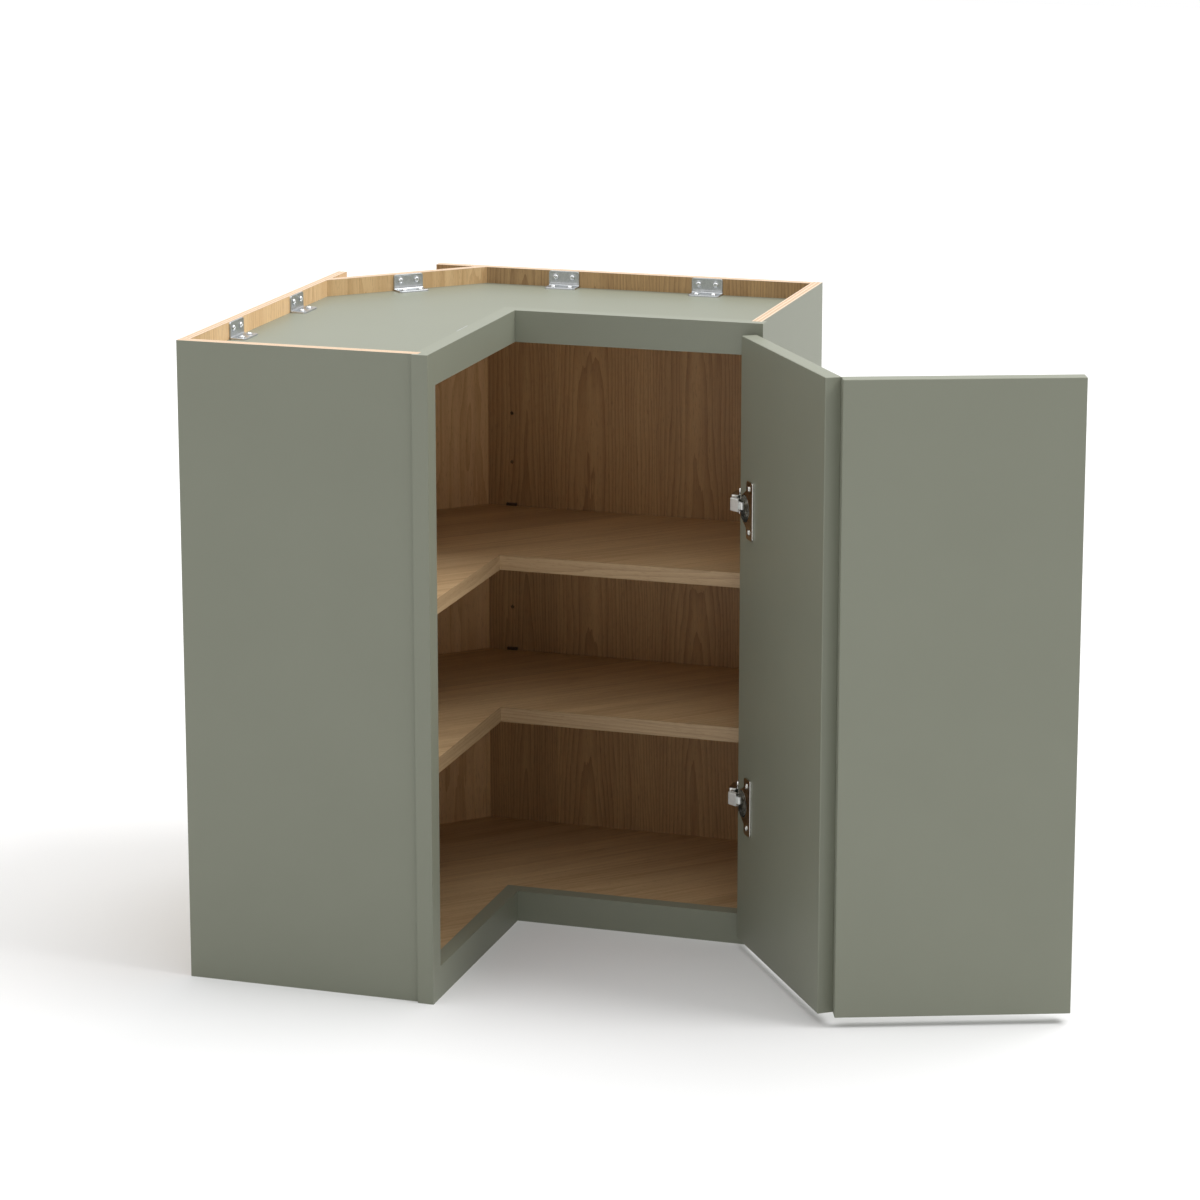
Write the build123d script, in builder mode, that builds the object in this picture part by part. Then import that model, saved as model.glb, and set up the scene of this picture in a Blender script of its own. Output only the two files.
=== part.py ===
"""Corner wall cabinet with a folding pair of slab doors, shown with the doors open.

The origin is the room corner at the cabinet's underside. +X runs along the rear wall,
-Y runs along the left wall, +Z is up. The cabinet is symmetric about the vertical plane
through the corner at 45 degrees, apart from its doors, which hang on the right side.
"""
from build123d import *
import math
import os

os.makedirs("parts", exist_ok=True)

# ---------------------------------------------------------------- driving sizes, mm
wall_run = 609.6            # room corner to the far end of each face frame
wing_depth = 304.8          # wall to the front of the face frame
cabinet_height = 762.0

frame_thickness = 19.05
rail_height = 38.1
stile_width = 25.4
frame_overhang = 4.5        # stile's outer side stands proud of the end panel
groove_depth = 6.0          # groove in the stile's back for the end panel
groove_play = 0.1
tenon_thickness = 6.0
tenon_length = 12.0
tenon_height = 24.0
tenon_play = 0.1
tenon_front = 4.5           # front of the tenon behind the frame's front
dado_depth = 5.0            # bottom panel's edge in the end panels and backs

panel_thickness = 12.7      # end, top and bottom panels
back_thickness = 11.8
diagonal_reach = 180.4      # x + |y| on the diagonal back's front face
back_end = 100.0            # each back stops this far short of the room corner
top_recess = 20.6           # top panel below the cabinet's top edge
bottom_lip = 6.35           # bottom panel below the bottom rail's top edge

shelf_thickness = 18.0
shelf_setback = 12.0        # behind the back of the face frame
shelf_play = 1.5
edging_thickness = 1.0

pin_hole_radius = 2.5
pin_hole_depth = 9.0
pin_hole_pitch = 64.0
pin_hole_first = 190.0
pin_hole_count = 7
back_column = 200.7         # hole column in each back, from the room corner
end_column_back = 60.0      # hole columns in each end panel, from the wall
end_column_front = 230.0
upper_shelf_hole_count = 4  # holes left free below the hole that carries each shelf
lower_shelf_hole_count = 1
shelf_top_above_hole = 7.0

clip_width = 13.5
clip_plate = 1.2
clip_ledge = 9.0
clip_ledge_height = 3.0
clip_tab = 3.6
clip_tab_height = 3.5
clip_pin_play = 0.05
clip_pin_length = 8.0
clip_grip = 0.1

bracket_length = 40.0
bracket_thickness = 2.0
bracket_corner = 3.0
bracket_hole_radius = 2.0
bracket_hole_spacing = 22.0
bracket_hole_height = 12.5
bracket_clearance = 0.25    # bracket's free edge inside the recess that it fills
outer_bracket = 460.0       # brackets along each wall, from the room corner
inner_bracket = 272.0
rail_bracket = 434.0        # bracket behind each top and bottom rail

screw_head_radius = 3.4
screw_head_height = 1.6
screw_shank_radius = 1.7
screw_length = 9.0
screw_recess_width = 0.8
screw_recess_length = 3.6
screw_recess_depth = 0.9
screw_head_chamfer = 0.7
screw_play = 0.05

leaf_thickness = 19.05
leaf_reveal = 12.7          # frame left uncovered around the closed doors
leaf_bumper_gap = 3.2       # closed leaf to frame
leaf_edge_radius = 1.0
fold_gap = 0.6              # between the two leaves' outer corners

# The doors' rest pose: the right leaf's hinge edge, seen from above, and its turn.
leaf_swing_open = 125.13    # turn of the right leaf from closed, degrees
open_edge_inset = 21.98     # hinge edge, inboard of the frame's end
open_edge_standoff = 13.7   # hinge edge, in front of the frame
leaf_turn_open = 75.2        # left leaf's direction from the right leaf's

hinge_heights = (187.2, 547.6)
cup_centre = 20.5           # from the leaf's hinge edge
cup_radius = 17.4
cup_bowl_radius = 16.4
cup_bowl_depth = 12.9
cup_floor = 0.8
cup_bore_play = 0.1
ear_inner = 4.8            # half gap between the ears that hold the cup pin
ear_reach = 9.4            # ears end this far from the leaf's hinge edge
ear_depth = 2.6
notch_half_height = 5.2     # notch for the link in the leaf's hinge edge
notch_depth = 1.1
flange_thickness = 2.4
flange_edge_radius = 0.8
flange_bar_width = 21.0
flange_bar_height = 70.0
flange_bar_offset = 16.0    # bar's middle, behind the cup's centre
flange_bar_corner = 4.0
flange_screw_spacing = 52.0
flange_screw_offset = 14.5
flange_bulge_half_height = 17.5
flange_bulge_nose = 8.0    # half height at the hinge edge
flange_bulge_edge = 4.6
cup_pin_edge = 7.0          # cup pin, from the leaf's hinge edge
cup_pin_lift = 0.6          # cup pin, above the leaf's inner face
cup_pin_half_length = 8.2
hinge_pin_radius = 1.25
hinge_pin_play = 0.05
link_throw = 12.0           # arm pin, from the middle of the cup pin's two end places
link_arm_radius = 3.5
link_cup_radius = 2.0
link_back = 1.9             # link's back stays clear of the leaf's edge
link_half_height = 8.6
link_cheek = 1.4
link_web = 0.8
link_box_end = 9.0          # where the channel ends and the tongue goes on
link_channel_end = 6.8
tongue_half_height = 4.5
arm_nose_radius = 2.4
arm_neck_half_width = 2.3
arm_nose_half_height = 6.9
arm_body_thickness = 12.0
arm_body_half_height = 8.2
arm_body_back = 24.0        # how far the body reaches behind the frame
arm_wing_half_height = 16.4
arm_wing_thickness = 2.0
arm_wing_margin = 2.0
arm_screw_height = 12.4

fold_hinge_heights = (110.0, 381.0, 652.0)
fold_knuckle_radius = 2.5
fold_knuckle_clearance = 0.2
fold_hinge_half_height = 25.0
fold_middle_half_height = 8.0
fold_knuckle_gap = 0.3
fold_plate_width = 20.0
fold_plate_thickness = 1.2
fold_pin_radius = 1.2
fold_pin_play = 0.05
fold_screw_height = 16.0
fold_screw_inset = 11.0

# ---------------------------------------------------------------- derived places
frame_back = wing_depth - frame_thickness
end_outer = wall_run - frame_overhang
end_inner = end_outer - panel_thickness
stile_inner = wall_run - stile_width
top_face = cabinet_height - top_recess
top_under = top_face - panel_thickness
bottom_top = rail_height - bottom_lip
bottom_under = bottom_top - panel_thickness
diagonal_back = diagonal_reach - back_thickness * math.sqrt(2)
shelf_front = frame_back - shelf_setback
leaf_bottom = leaf_reveal
leaf_top = cabinet_height - leaf_reveal
leaf_inner_closed = wing_depth + leaf_bumper_gap
leaf_edge_closed = wall_run - leaf_reveal
leaf_width = leaf_edge_closed - leaf_inner_closed - leaf_thickness - fold_gap / 2
corner_mirror = Plane(origin=(0, 0, 0), z_dir=(1, 1, 0))


def face_place(origin, outward):
    """A plane on an upright face: X along the face, Y up, Z out of the face."""
    return Plane(origin=origin, x_dir=Vector(0, 0, 1).cross(outward), z_dir=outward)


def leaf_place(origin, direction):
    """A leaf's plan plane: X from its hinge edge along it, Y towards its outer face."""
    turn = math.radians(direction)
    return Plane(origin=origin, x_dir=(math.cos(turn), math.sin(turn), 0), z_dir=(0, 0, 1))


def inner_place(leaf, along, height):
    """A plane on a leaf's inner face: X along the leaf, Y up, Z out of the leaf."""
    return Plane(origin=leaf.from_local_coords((along, 0, height)), x_dir=leaf.x_dir, z_dir=-leaf.y_dir)


# Outward directions of the faces that fittings stand on.
from_rear = Vector(0, -1, 0)
from_left = Vector(1, 0, 0)
from_right_end = Vector(-1, 0, 0)
from_left_end = Vector(0, 1, 0)
from_diagonal = Vector(1, -1, 0).normalized()

# ---------------------------------------------------------------- where the doors are
closed_leaf = leaf_place((leaf_edge_closed, -leaf_inner_closed, 0), 180)
right_leaf = leaf_place((wall_run - open_edge_inset, -wing_depth - open_edge_standoff, 0),
                        180 + leaf_swing_open)
pin_in_leaf = (cup_pin_edge, -cup_pin_lift, 0)
cup_pin = right_leaf.from_local_coords(pin_in_leaf)
cup_pin_closed = closed_leaf.from_local_coords(pin_in_leaf)
pin_travel = cup_pin_closed - cup_pin
pin_middle = (cup_pin + cup_pin_closed) * 0.5
arm_pin = pin_middle - Vector(pin_travel.Y, -pin_travel.X, 0).normalized() * link_throw
link_length = (cup_pin - arm_pin).length
link_turn = math.degrees(math.atan2(cup_pin.Y - arm_pin.Y, cup_pin.X - arm_pin.X))
link_plan = leaf_place(arm_pin, link_turn)

fold_out = leaf_thickness + fold_knuckle_radius + fold_pin_play
fold_in = 2.35              # fold axis, from the end of each leaf
fold_axis = right_leaf.from_local_coords((leaf_width - fold_in, fold_out, 0))
left_turn = 180 + leaf_swing_open + leaf_turn_open
left_frame = leaf_place(fold_axis, left_turn)
left_leaf = leaf_place(left_frame.from_local_coords((-fold_in, -fold_out, 0)), left_turn)

print("arm pin", arm_pin)
print("cup pin", cup_pin)
print("fold axis", fold_axis)
print("link length", link_length, "turn", link_turn, "leaf width", leaf_width)

# ---------------------------------------------------------------- the small fittings
# A pan-head screw: its head stands on the XY plane and its shank runs down -Z.
with BuildPart() as screw:
    Cylinder(screw_head_radius, screw_head_height, align=(Align.CENTER, Align.CENTER, Align.MIN))
    chamfer(screw.edges().sort_by(Axis.Z)[-1], length=screw_head_chamfer)
    with BuildSketch(Plane.XY.offset(screw_head_height)):
        Rectangle(screw_recess_length, screw_recess_width)
        Rectangle(screw_recess_width, screw_recess_length)
    extrude(amount=-screw_recess_depth, mode=Mode.SUBTRACT)
    Cylinder(screw_shank_radius, screw_length, align=(Align.CENTER, Align.CENTER, Align.MAX))

# A corner bracket: X along the wall, Y up the wall, Z out over the panel.
bracket_leg = top_recess - bracket_clearance
with BuildPart() as bracket:
    with BuildSketch(Plane.YZ):
        with BuildLine():
            Polyline((0, 0), (bracket_leg, 0), (bracket_leg, bracket_thickness),
                     (bracket_thickness, bracket_thickness), (bracket_thickness, bracket_leg),
                     (0, bracket_leg), close=True)
        make_face()
    extrude(amount=bracket_length / 2, both=True)
    fillet(bracket.edges().filter_by(Axis.Z).group_by(Axis.Y)[-1], radius=bracket_corner)
    fillet(bracket.edges().filter_by(Axis.Y).group_by(Axis.Z)[-1], radius=bracket_corner)
    with Locations(*[(s * bracket_hole_spacing / 2, bracket_hole_height, bracket_thickness)
                     for s in (-1, 1)]):
        Hole(bracket_hole_radius, depth=bracket_thickness)
    with Locations(*[Plane(origin=(s * bracket_hole_spacing / 2, bracket_thickness, bracket_hole_height),
                           x_dir=(1, 0, 0), z_dir=(0, 1, 0)) for s in (-1, 1)]):
        Hole(bracket_hole_radius, depth=bracket_thickness)

# A shelf clip: its pin goes into the hole, a ledge lies under the shelf and a tab over it.
clip_ledge_top = shelf_top_above_hole - shelf_thickness
clip_tab_bottom = shelf_top_above_hole + clip_grip
clip_top = shelf_top_above_hole + clip_tab_height
with BuildPart() as clip:
    with BuildSketch(Plane.YZ):
        with BuildLine():
            Polyline((clip_ledge_top - clip_ledge_height, 0), (clip_ledge_top - clip_ledge_height, clip_ledge),
                     (clip_ledge_top, clip_ledge), (clip_ledge_top, clip_plate),
                     (clip_tab_bottom, clip_plate), (clip_tab_bottom, clip_tab), (clip_top, clip_tab),
                     (clip_top, 0), close=True)
        make_face()
    extrude(amount=clip_width / 2, both=True)
    Cylinder(pin_hole_radius - clip_pin_play, clip_pin_length,
             align=(Align.CENTER, Align.CENTER, Align.MAX))

# ---------------------------------------------------------------- places of the fittings
bracket_places = [
    face_place((inner_bracket, -back_thickness, top_face), from_rear),
    face_place((outer_bracket, -back_thickness, top_face), from_rear),
    face_place((back_thickness, -inner_bracket, top_face), from_left),
    face_place((back_thickness, -outer_bracket, top_face), from_left),
    face_place((diagonal_reach / 2, -diagonal_reach / 2, top_face), from_diagonal),
    face_place((frame_back, -rail_bracket, top_face), -from_left),
]


def bracket_screw_places(place):
    """The four screws of one bracket, each on a plane facing out of its leg."""
    found = []
    for s in (-1, 1):
        along = s * bracket_hole_spacing / 2
        found.append(Plane(origin=place.from_local_coords((along, bracket_hole_height, bracket_thickness)),
                           x_dir=place.x_dir, z_dir=place.z_dir))
        found.append(Plane(origin=place.from_local_coords((along, bracket_thickness, bracket_hole_height)),
                           x_dir=place.x_dir, z_dir=place.y_dir))
    return found


bracket_screw_spots = [spot for place in bracket_places for spot in bracket_screw_places(place)]
pin_heights = [pin_hole_first + pin_hole_pitch * i for i in range(pin_hole_count)]


def pin_column(x, y, outward):
    """The shelf-pin places of one column, from the lowest up."""
    return [face_place((x, y, height), outward) for height in pin_heights]


rear_column = pin_column(back_column, -back_thickness, from_rear)
right_end_columns = [pin_column(end_inner, -end_column_back, from_right_end),
                     pin_column(end_inner, -end_column_front, from_right_end)]
left_end_columns = [pin_column(end_column_back, -end_inner, from_left_end),
                    pin_column(end_column_front, -end_inner, from_left_end)]
left_column = pin_column(back_thickness, -back_column, from_left)
all_columns = [rear_column, left_column] + right_end_columns + left_end_columns

arm_screw_spots = {
    height: [Plane(origin=(stile_inner - arm_wing_thickness, -wing_depth + frame_thickness / 2,
                           height + s * arm_screw_height), x_dir=(0, 1, 0), z_dir=(-1, 0, 0))
             for s in (-1, 1)]
    for height in hinge_heights
}
all_arm_screws = [spot for spots in arm_screw_spots.values() for spot in spots]

# ---------------------------------------------------------------- bottom panel, end panels, backs
carcass_outline = [
    (diagonal_reach - back_thickness, -back_thickness), (end_inner, -back_thickness),
    (end_inner, -frame_back), (frame_back, -frame_back), (frame_back, -end_inner),
    (back_thickness, -end_inner), (back_thickness, -diagonal_reach + back_thickness),
]
dado_back = back_thickness - dado_depth
dado_outline = [
    (diagonal_reach - dado_back, -dado_back), (end_inner + dado_depth, -dado_back),
    (end_inner + dado_depth, -frame_back), (frame_back, -frame_back),
    (frame_back, -end_inner - dado_depth), (dado_back, -end_inner - dado_depth),
    (dado_back, -diagonal_reach + dado_back),
]

with BuildPart() as bottom_panel:
    with BuildSketch(Plane.XY.offset(bottom_under)):
        with BuildLine():
            Polyline(*dado_outline, close=True)
        make_face()
    extrude(amount=panel_thickness)
    with BuildSketch(Plane.XY.offset(bottom_under)):
        with BuildLine():
            Polyline((0, 0), (diagonal_reach, 0), (0, -diagonal_reach), close=True)
        make_face()
    extrude(amount=panel_thickness, mode=Mode.SUBTRACT)

with BuildPart() as top_panel:
    with BuildSketch(Plane.XY.offset(top_under)):
        with BuildLine():
            Polyline(*carcass_outline, close=True)
        make_face()
    extrude(amount=panel_thickness)
    with Locations(*bracket_screw_spots):
        Hole(screw_shank_radius + screw_play, depth=screw_length)

with BuildPart() as end_panel_right:
    with BuildSketch(Plane.XY):
        with BuildLine():
            Polyline((end_inner, 0), (end_outer, 0), (end_outer, -frame_back - groove_depth + groove_play),
                     (end_inner, -frame_back - groove_depth + groove_play), close=True)
        make_face()
    extrude(amount=cabinet_height)
    add(bottom_panel.part, mode=Mode.SUBTRACT)
    with Locations(*right_end_columns[0], *right_end_columns[1]):
        Hole(pin_hole_radius, depth=pin_hole_depth)

with BuildPart() as end_panel_left:
    mirror(end_panel_right.part, about=corner_mirror)

with BuildPart() as back_panel_rear:
    with BuildSketch(Plane.XY):
        with BuildLine():
            Polyline((back_end, 0), (end_inner, 0), (end_inner, -back_thickness),
                     (back_end, -back_thickness), close=True)
        make_face()
    extrude(amount=cabinet_height)
    add(bottom_panel.part, mode=Mode.SUBTRACT)
    with Locations(*rear_column):
        Hole(pin_hole_radius, depth=pin_hole_depth)
    with Locations(*bracket_screw_spots):
        Hole(screw_shank_radius + screw_play, depth=screw_length)

with BuildPart() as back_panel_left:
    mirror(back_panel_rear.part, about=corner_mirror)

with BuildPart() as back_panel_diagonal:
    with BuildSketch(Plane.XY):
        with BuildLine():
            Polyline((diagonal_reach - back_thickness, -back_thickness),
                     (diagonal_back - back_thickness, -back_thickness),
                     (back_thickness, -diagonal_back + back_thickness),
                     (back_thickness, -diagonal_reach + back_thickness), close=True)
        make_face()
    extrude(amount=cabinet_height)
    with Locations(*bracket_screw_spots):
        Hole(screw_shank_radius + screw_play, depth=screw_length)

# ---------------------------------------------------------------- face frame
with BuildPart() as stile_right:
    with BuildSketch(Plane.XY):
        with BuildLine():
            Polyline((stile_inner, -wing_depth), (wall_run, -wing_depth), (wall_run, -frame_back),
                     (stile_inner, -frame_back), close=True)
        make_face()
    extrude(amount=cabinet_height)
    with BuildSketch(Plane.XY):
        with BuildLine():
            Polyline((end_inner - groove_play, -frame_back), (end_outer + groove_play, -frame_back),
                     (end_outer + groove_play, -frame_back - groove_depth),
                     (end_inner - groove_play, -frame_back - groove_depth), close=True)
        make_face()
    extrude(amount=cabinet_height, mode=Mode.SUBTRACT)
    for low in (0, cabinet_height - rail_height):
        with BuildSketch(Plane.XY.offset(low + (rail_height - tenon_height) / 2 - tenon_play)):
            with BuildLine():
                Polyline((stile_inner, -wing_depth + tenon_front - tenon_play),
                         (stile_inner + tenon_length + tenon_play, -wing_depth + tenon_front - tenon_play),
                         (stile_inner + tenon_length + tenon_play,
                          -wing_depth + tenon_front + tenon_thickness + tenon_play),
                         (stile_inner, -wing_depth + tenon_front + tenon_thickness + tenon_play), close=True)
            make_face()
        extrude(amount=tenon_height + 2 * tenon_play, mode=Mode.SUBTRACT)
    with Locations(*all_arm_screws):
        Hole(screw_shank_radius + screw_play, depth=screw_length)

with BuildPart() as stile_left:
    mirror(stile_right.part, about=corner_mirror)

with BuildPart() as bottom_rail_rear:
    with BuildSketch(Plane.XY):
        with BuildLine():
            Polyline((stile_inner, -wing_depth), (stile_inner, -frame_back), (frame_back, -frame_back),
                     (wing_depth, -wing_depth), close=True)
        make_face()
    extrude(amount=rail_height)
    with BuildSketch(Plane.XY.offset((rail_height - tenon_height) / 2)):
        with BuildLine():
            Polyline((stile_inner, -wing_depth + tenon_front), (stile_inner + tenon_length, -wing_depth + tenon_front),
                     (stile_inner + tenon_length, -wing_depth + tenon_front + tenon_thickness),
                     (stile_inner, -wing_depth + tenon_front + tenon_thickness), close=True)
        make_face()
    extrude(amount=tenon_height)

with BuildPart() as bottom_rail_left:
    mirror(bottom_rail_rear.part, about=corner_mirror)

with BuildPart() as top_rail_rear:
    with Locations((0, 0, cabinet_height - rail_height)):
        add(bottom_rail_rear.part)

with BuildPart() as top_rail_left:
    mirror(top_rail_rear.part, about=corner_mirror)
    with Locations(*bracket_screw_spots):
        Hole(screw_shank_radius + screw_play, depth=screw_length)

# ---------------------------------------------------------------- shelves
back_line = back_thickness + shelf_play
end_line = end_inner - shelf_play
reach_line = diagonal_reach + shelf_play * math.sqrt(2)
board_front = shelf_front - edging_thickness
shelf_outline = [
    (reach_line - back_line, -back_line), (end_line, -back_line), (end_line, -board_front),
    (board_front, -board_front), (board_front, -end_line), (back_line, -end_line),
    (back_line, -reach_line + back_line),
]
edging_outline = [
    (end_line, -board_front), (end_line, -shelf_front), (shelf_front, -shelf_front),
    (shelf_front, -end_line), (board_front, -end_line), (board_front, -board_front),
]
upper_top = pin_heights[upper_shelf_hole_count] + shelf_top_above_hole
lower_top = pin_heights[lower_shelf_hole_count] + shelf_top_above_hole

with BuildPart() as shelf_lower:
    with BuildSketch(Plane.XY.offset(lower_top - shelf_thickness)):
        with BuildLine():
            Polyline(*shelf_outline, close=True)
        make_face()
    extrude(amount=shelf_thickness)

with BuildPart() as shelf_lower_edging:
    with BuildSketch(Plane.XY.offset(lower_top - shelf_thickness)):
        with BuildLine():
            Polyline(*edging_outline, close=True)
        make_face()
    extrude(amount=shelf_thickness)

with BuildPart() as shelf_upper:
    with Locations((0, 0, upper_top - lower_top)):
        add(shelf_lower.part)

with BuildPart() as shelf_upper_edging:
    with Locations((0, 0, upper_top - lower_top)):
        add(shelf_lower_edging.part)

with BuildPart() as shelf_clips_lower:
    with Locations(*[column[lower_shelf_hole_count] for column in all_columns]):
        add(clip.part)

with BuildPart() as shelf_clips_upper:
    with Locations(*[column[upper_shelf_hole_count] for column in all_columns]):
        add(clip.part)

# ---------------------------------------------------------------- top brackets
with BuildPart() as top_brackets:
    with Locations(*bracket_places):
        add(bracket.part)

with BuildPart() as top_bracket_screws:
    with Locations(*bracket_screw_spots):
        add(screw.part)

# ---------------------------------------------------------------- hinge, made at height zero
# The arm: a box on the stile's inner edge with a nose that carries the arm pin.
with BuildPart() as hinge_arm:
    with BuildSketch(Plane.XY.offset(-arm_body_half_height)):
        with BuildLine():
            Polyline((stile_inner, -wing_depth), (stile_inner, -wing_depth + arm_body_back),
                     (stile_inner - arm_body_thickness, -wing_depth + arm_body_back),
                     (stile_inner - arm_body_thickness, -wing_depth), close=True)
        make_face()
    extrude(amount=2 * arm_body_half_height)
    fillet(hinge_arm.edges().filter_by(Axis.Z).group_by(Axis.X)[0], radius=2)
    with BuildSketch(Plane.XY.offset(-arm_nose_half_height)):
        with Locations((arm_pin.X, arm_pin.Y)):
            Circle(arm_nose_radius)
        with BuildLine():
            Polyline((arm_pin.X - arm_neck_half_width, arm_pin.Y),
                     (arm_pin.X + arm_neck_half_width, arm_pin.Y),
                     (arm_pin.X + arm_neck_half_width, -wing_depth + 2),
                     (arm_pin.X - arm_neck_half_width, -wing_depth + 2), close=True)
        make_face()
    extrude(amount=2 * arm_nose_half_height)
    with BuildSketch(Plane.XY.offset(-arm_wing_half_height)):
        with BuildLine():
            Polyline((stile_inner, -wing_depth + arm_wing_margin), (stile_inner, -frame_back - arm_wing_margin),
                     (stile_inner - arm_wing_thickness, -frame_back - arm_wing_margin),
                     (stile_inner - arm_wing_thickness, -wing_depth + arm_wing_margin), close=True)
        make_face()
    extrude(amount=2 * arm_wing_half_height)
    fillet(hinge_arm.edges().filter_by(Axis.X).filter_by(
        lambda e: abs(abs(e.center().Z) - arm_wing_half_height) < 0.01), radius=3)
    with Locations((arm_pin.X, arm_pin.Y, arm_nose_half_height)):
        Hole(hinge_pin_radius + hinge_pin_play, depth=2 * arm_nose_half_height)
    with Locations(*[Plane(origin=(stile_inner - arm_wing_thickness, -wing_depth + frame_thickness / 2,
                                   s * arm_screw_height), x_dir=(0, 1, 0), z_dir=(-1, 0, 0))
                     for s in (-1, 1)]):
        Hole(screw_shank_radius + 2 * screw_play, depth=arm_wing_thickness)

with BuildPart() as arm_pin_solid:
    with Locations((arm_pin.X, arm_pin.Y, 0)):
        Cylinder(hinge_pin_radius, 2 * link_half_height)

# The link: a channel round the arm's nose, then a tongue out to the cup pin.
link_low = link_plan.offset(-link_half_height)
with BuildPart() as hinge_link:
    with BuildSketch(link_low):
        Circle(link_arm_radius)
        with BuildLine():
            Polyline((0, -link_arm_radius), (link_box_end, -link_arm_radius), (link_box_end, link_back),
                     (link_channel_end - 1, link_back), (0, link_arm_radius), close=True)
        make_face()
    extrude(amount=2 * link_half_height)
    with BuildSketch(link_plan.offset(-tongue_half_height)):
        with Locations((link_length, 0)):
            Circle(link_cup_radius)
        with BuildLine():
            Polyline((link_box_end - 0.5, -link_arm_radius), (link_length, -link_cup_radius),
                     (link_length, link_cup_radius), (link_box_end - 0.5, link_back), close=True)
        make_face()
    extrude(amount=2 * tongue_half_height)
    with BuildSketch(link_plan.offset(-arm_nose_half_height - (link_half_height - link_cheek
                                                               - arm_nose_half_height))):
        with BuildLine():
            Polyline((-2 * link_arm_radius, -link_arm_radius + link_web),
                     (link_channel_end, -link_arm_radius + link_web),
                     (link_channel_end, 2 * link_arm_radius), (-2 * link_arm_radius, 2 * link_arm_radius),
                     close=True)
        make_face()
    extrude(amount=2 * (link_half_height - link_cheek), mode=Mode.SUBTRACT)
    with BuildSketch(link_low):
        Circle(hinge_pin_radius + hinge_pin_play)
        with Locations((link_length, 0)):
            Circle(hinge_pin_radius + hinge_pin_play)
    extrude(amount=2 * link_half_height, mode=Mode.SUBTRACT)

# The cup: a bowl in the leaf with a flange over its inner face and ears for the cup pin.
# It is made lying down: X along the leaf from its hinge edge, Y up, Z out of the leaf.
cup_face = Plane.XY
cup_depth = cup_bowl_depth + cup_floor
with BuildPart() as hinge_cup:
    with BuildSketch(cup_face):
        with Locations((cup_centre + flange_bar_offset, 0)):
            RectangleRounded(flange_bar_width, flange_bar_height, flange_bar_corner)
        with BuildLine():
            Polyline((cup_centre + flange_bar_offset, -flange_bulge_half_height - 6),
                     (cup_centre + flange_bar_offset - flange_bar_width / 2 + 1, -flange_bulge_half_height - 6),
                     (cup_centre - 4, -flange_bulge_half_height),
                     (flange_bulge_edge, -flange_bulge_nose), (flange_bulge_edge, flange_bulge_nose),
                     (cup_centre - 4, flange_bulge_half_height),
                     (cup_centre + flange_bar_offset - flange_bar_width / 2 + 1, flange_bulge_half_height + 6),
                     (cup_centre + flange_bar_offset, flange_bulge_half_height + 6), close=True)
        make_face()
        with Locations((cup_centre, 0)):
            Circle(cup_radius)
    extrude(amount=flange_thickness)
    fillet(hinge_cup.faces().sort_by(Axis.Z)[-1].outer_wire().edges(), radius=flange_edge_radius)
    with BuildSketch(cup_face):
        with Locations((cup_centre, 0)):
            Circle(cup_radius)
    extrude(amount=-cup_depth)
    with BuildSketch(cup_face.offset(flange_thickness)):
        with Locations((cup_centre, 0)):
            Circle(cup_bowl_radius)
    extrude(amount=-flange_thickness - cup_bowl_depth, mode=Mode.SUBTRACT)
    with BuildSketch(cup_face.offset(-ear_depth)):
        with Locations((cup_centre, 0)):
            Circle(cup_radius)
        with Locations((ear_reach + cup_radius, 0)):
            Rectangle(2 * cup_radius, 4 * cup_radius, mode=Mode.SUBTRACT)
    extrude(amount=ear_depth + flange_thickness)
    with BuildSketch(cup_face.offset(-notch_depth)):
        with Locations((ear_reach / 2, 0)):
            Rectangle(ear_reach, 2 * ear_inner)
    extrude(amount=notch_depth + flange_thickness, mode=Mode.SUBTRACT)
    with BuildSketch(cup_face.offset(-ear_depth)):
        with Locations((cup_pin_edge, 0)):
            Rectangle(2 * (link_cup_radius + 0.8), 2 * ear_inner)
    extrude(amount=ear_depth + flange_thickness, mode=Mode.SUBTRACT)
    with Locations(Plane(origin=(cup_pin_edge, cup_radius, cup_pin_lift), x_dir=(1, 0, 0), z_dir=(0, 1, 0))):
        Hole(hinge_pin_radius + hinge_pin_play, depth=2 * cup_radius)
    with Locations(*[(cup_centre + flange_screw_offset, s * flange_screw_spacing / 2, flange_thickness)
                     for s in (-1, 1)]):
        Hole(screw_shank_radius + 2 * screw_play, depth=screw_length)

with BuildPart() as cup_pin_solid:
    with Locations((cup_pin.X, cup_pin.Y, 0)):
        Cylinder(hinge_pin_radius, 2 * cup_pin_half_length)

cup_screw_spots = [
    inner_place(right_leaf, cup_centre + flange_screw_offset, height + s * flange_screw_spacing / 2)
    .offset(flange_thickness) for height in hinge_heights for s in (-1, 1)
]

# ---------------------------------------------------------------- hinges at their heights
lower_hinge = Location((0, 0, hinge_heights[0]))
upper_hinge = Location((0, 0, hinge_heights[1]))

with BuildPart() as hinge_arm_lower:
    with Locations(lower_hinge):
        add(hinge_arm.part)

with BuildPart() as hinge_arm_upper:
    with Locations(upper_hinge):
        add(hinge_arm.part)

with BuildPart() as hinge_arm_pins:
    with Locations(lower_hinge, upper_hinge):
        add(arm_pin_solid.part)

with BuildPart() as hinge_arm_screws:
    with Locations(*all_arm_screws):
        add(screw.part)

with BuildPart() as hinge_link_lower:
    with Locations(lower_hinge):
        add(hinge_link.part)

with BuildPart() as hinge_link_upper:
    with Locations(upper_hinge):
        add(hinge_link.part)

with BuildPart() as hinge_cup_lower:
    with Locations(inner_place(right_leaf, 0, hinge_heights[0])):
        add(hinge_cup.part)

with BuildPart() as hinge_cup_upper:
    with Locations(inner_place(right_leaf, 0, hinge_heights[1])):
        add(hinge_cup.part)

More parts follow.
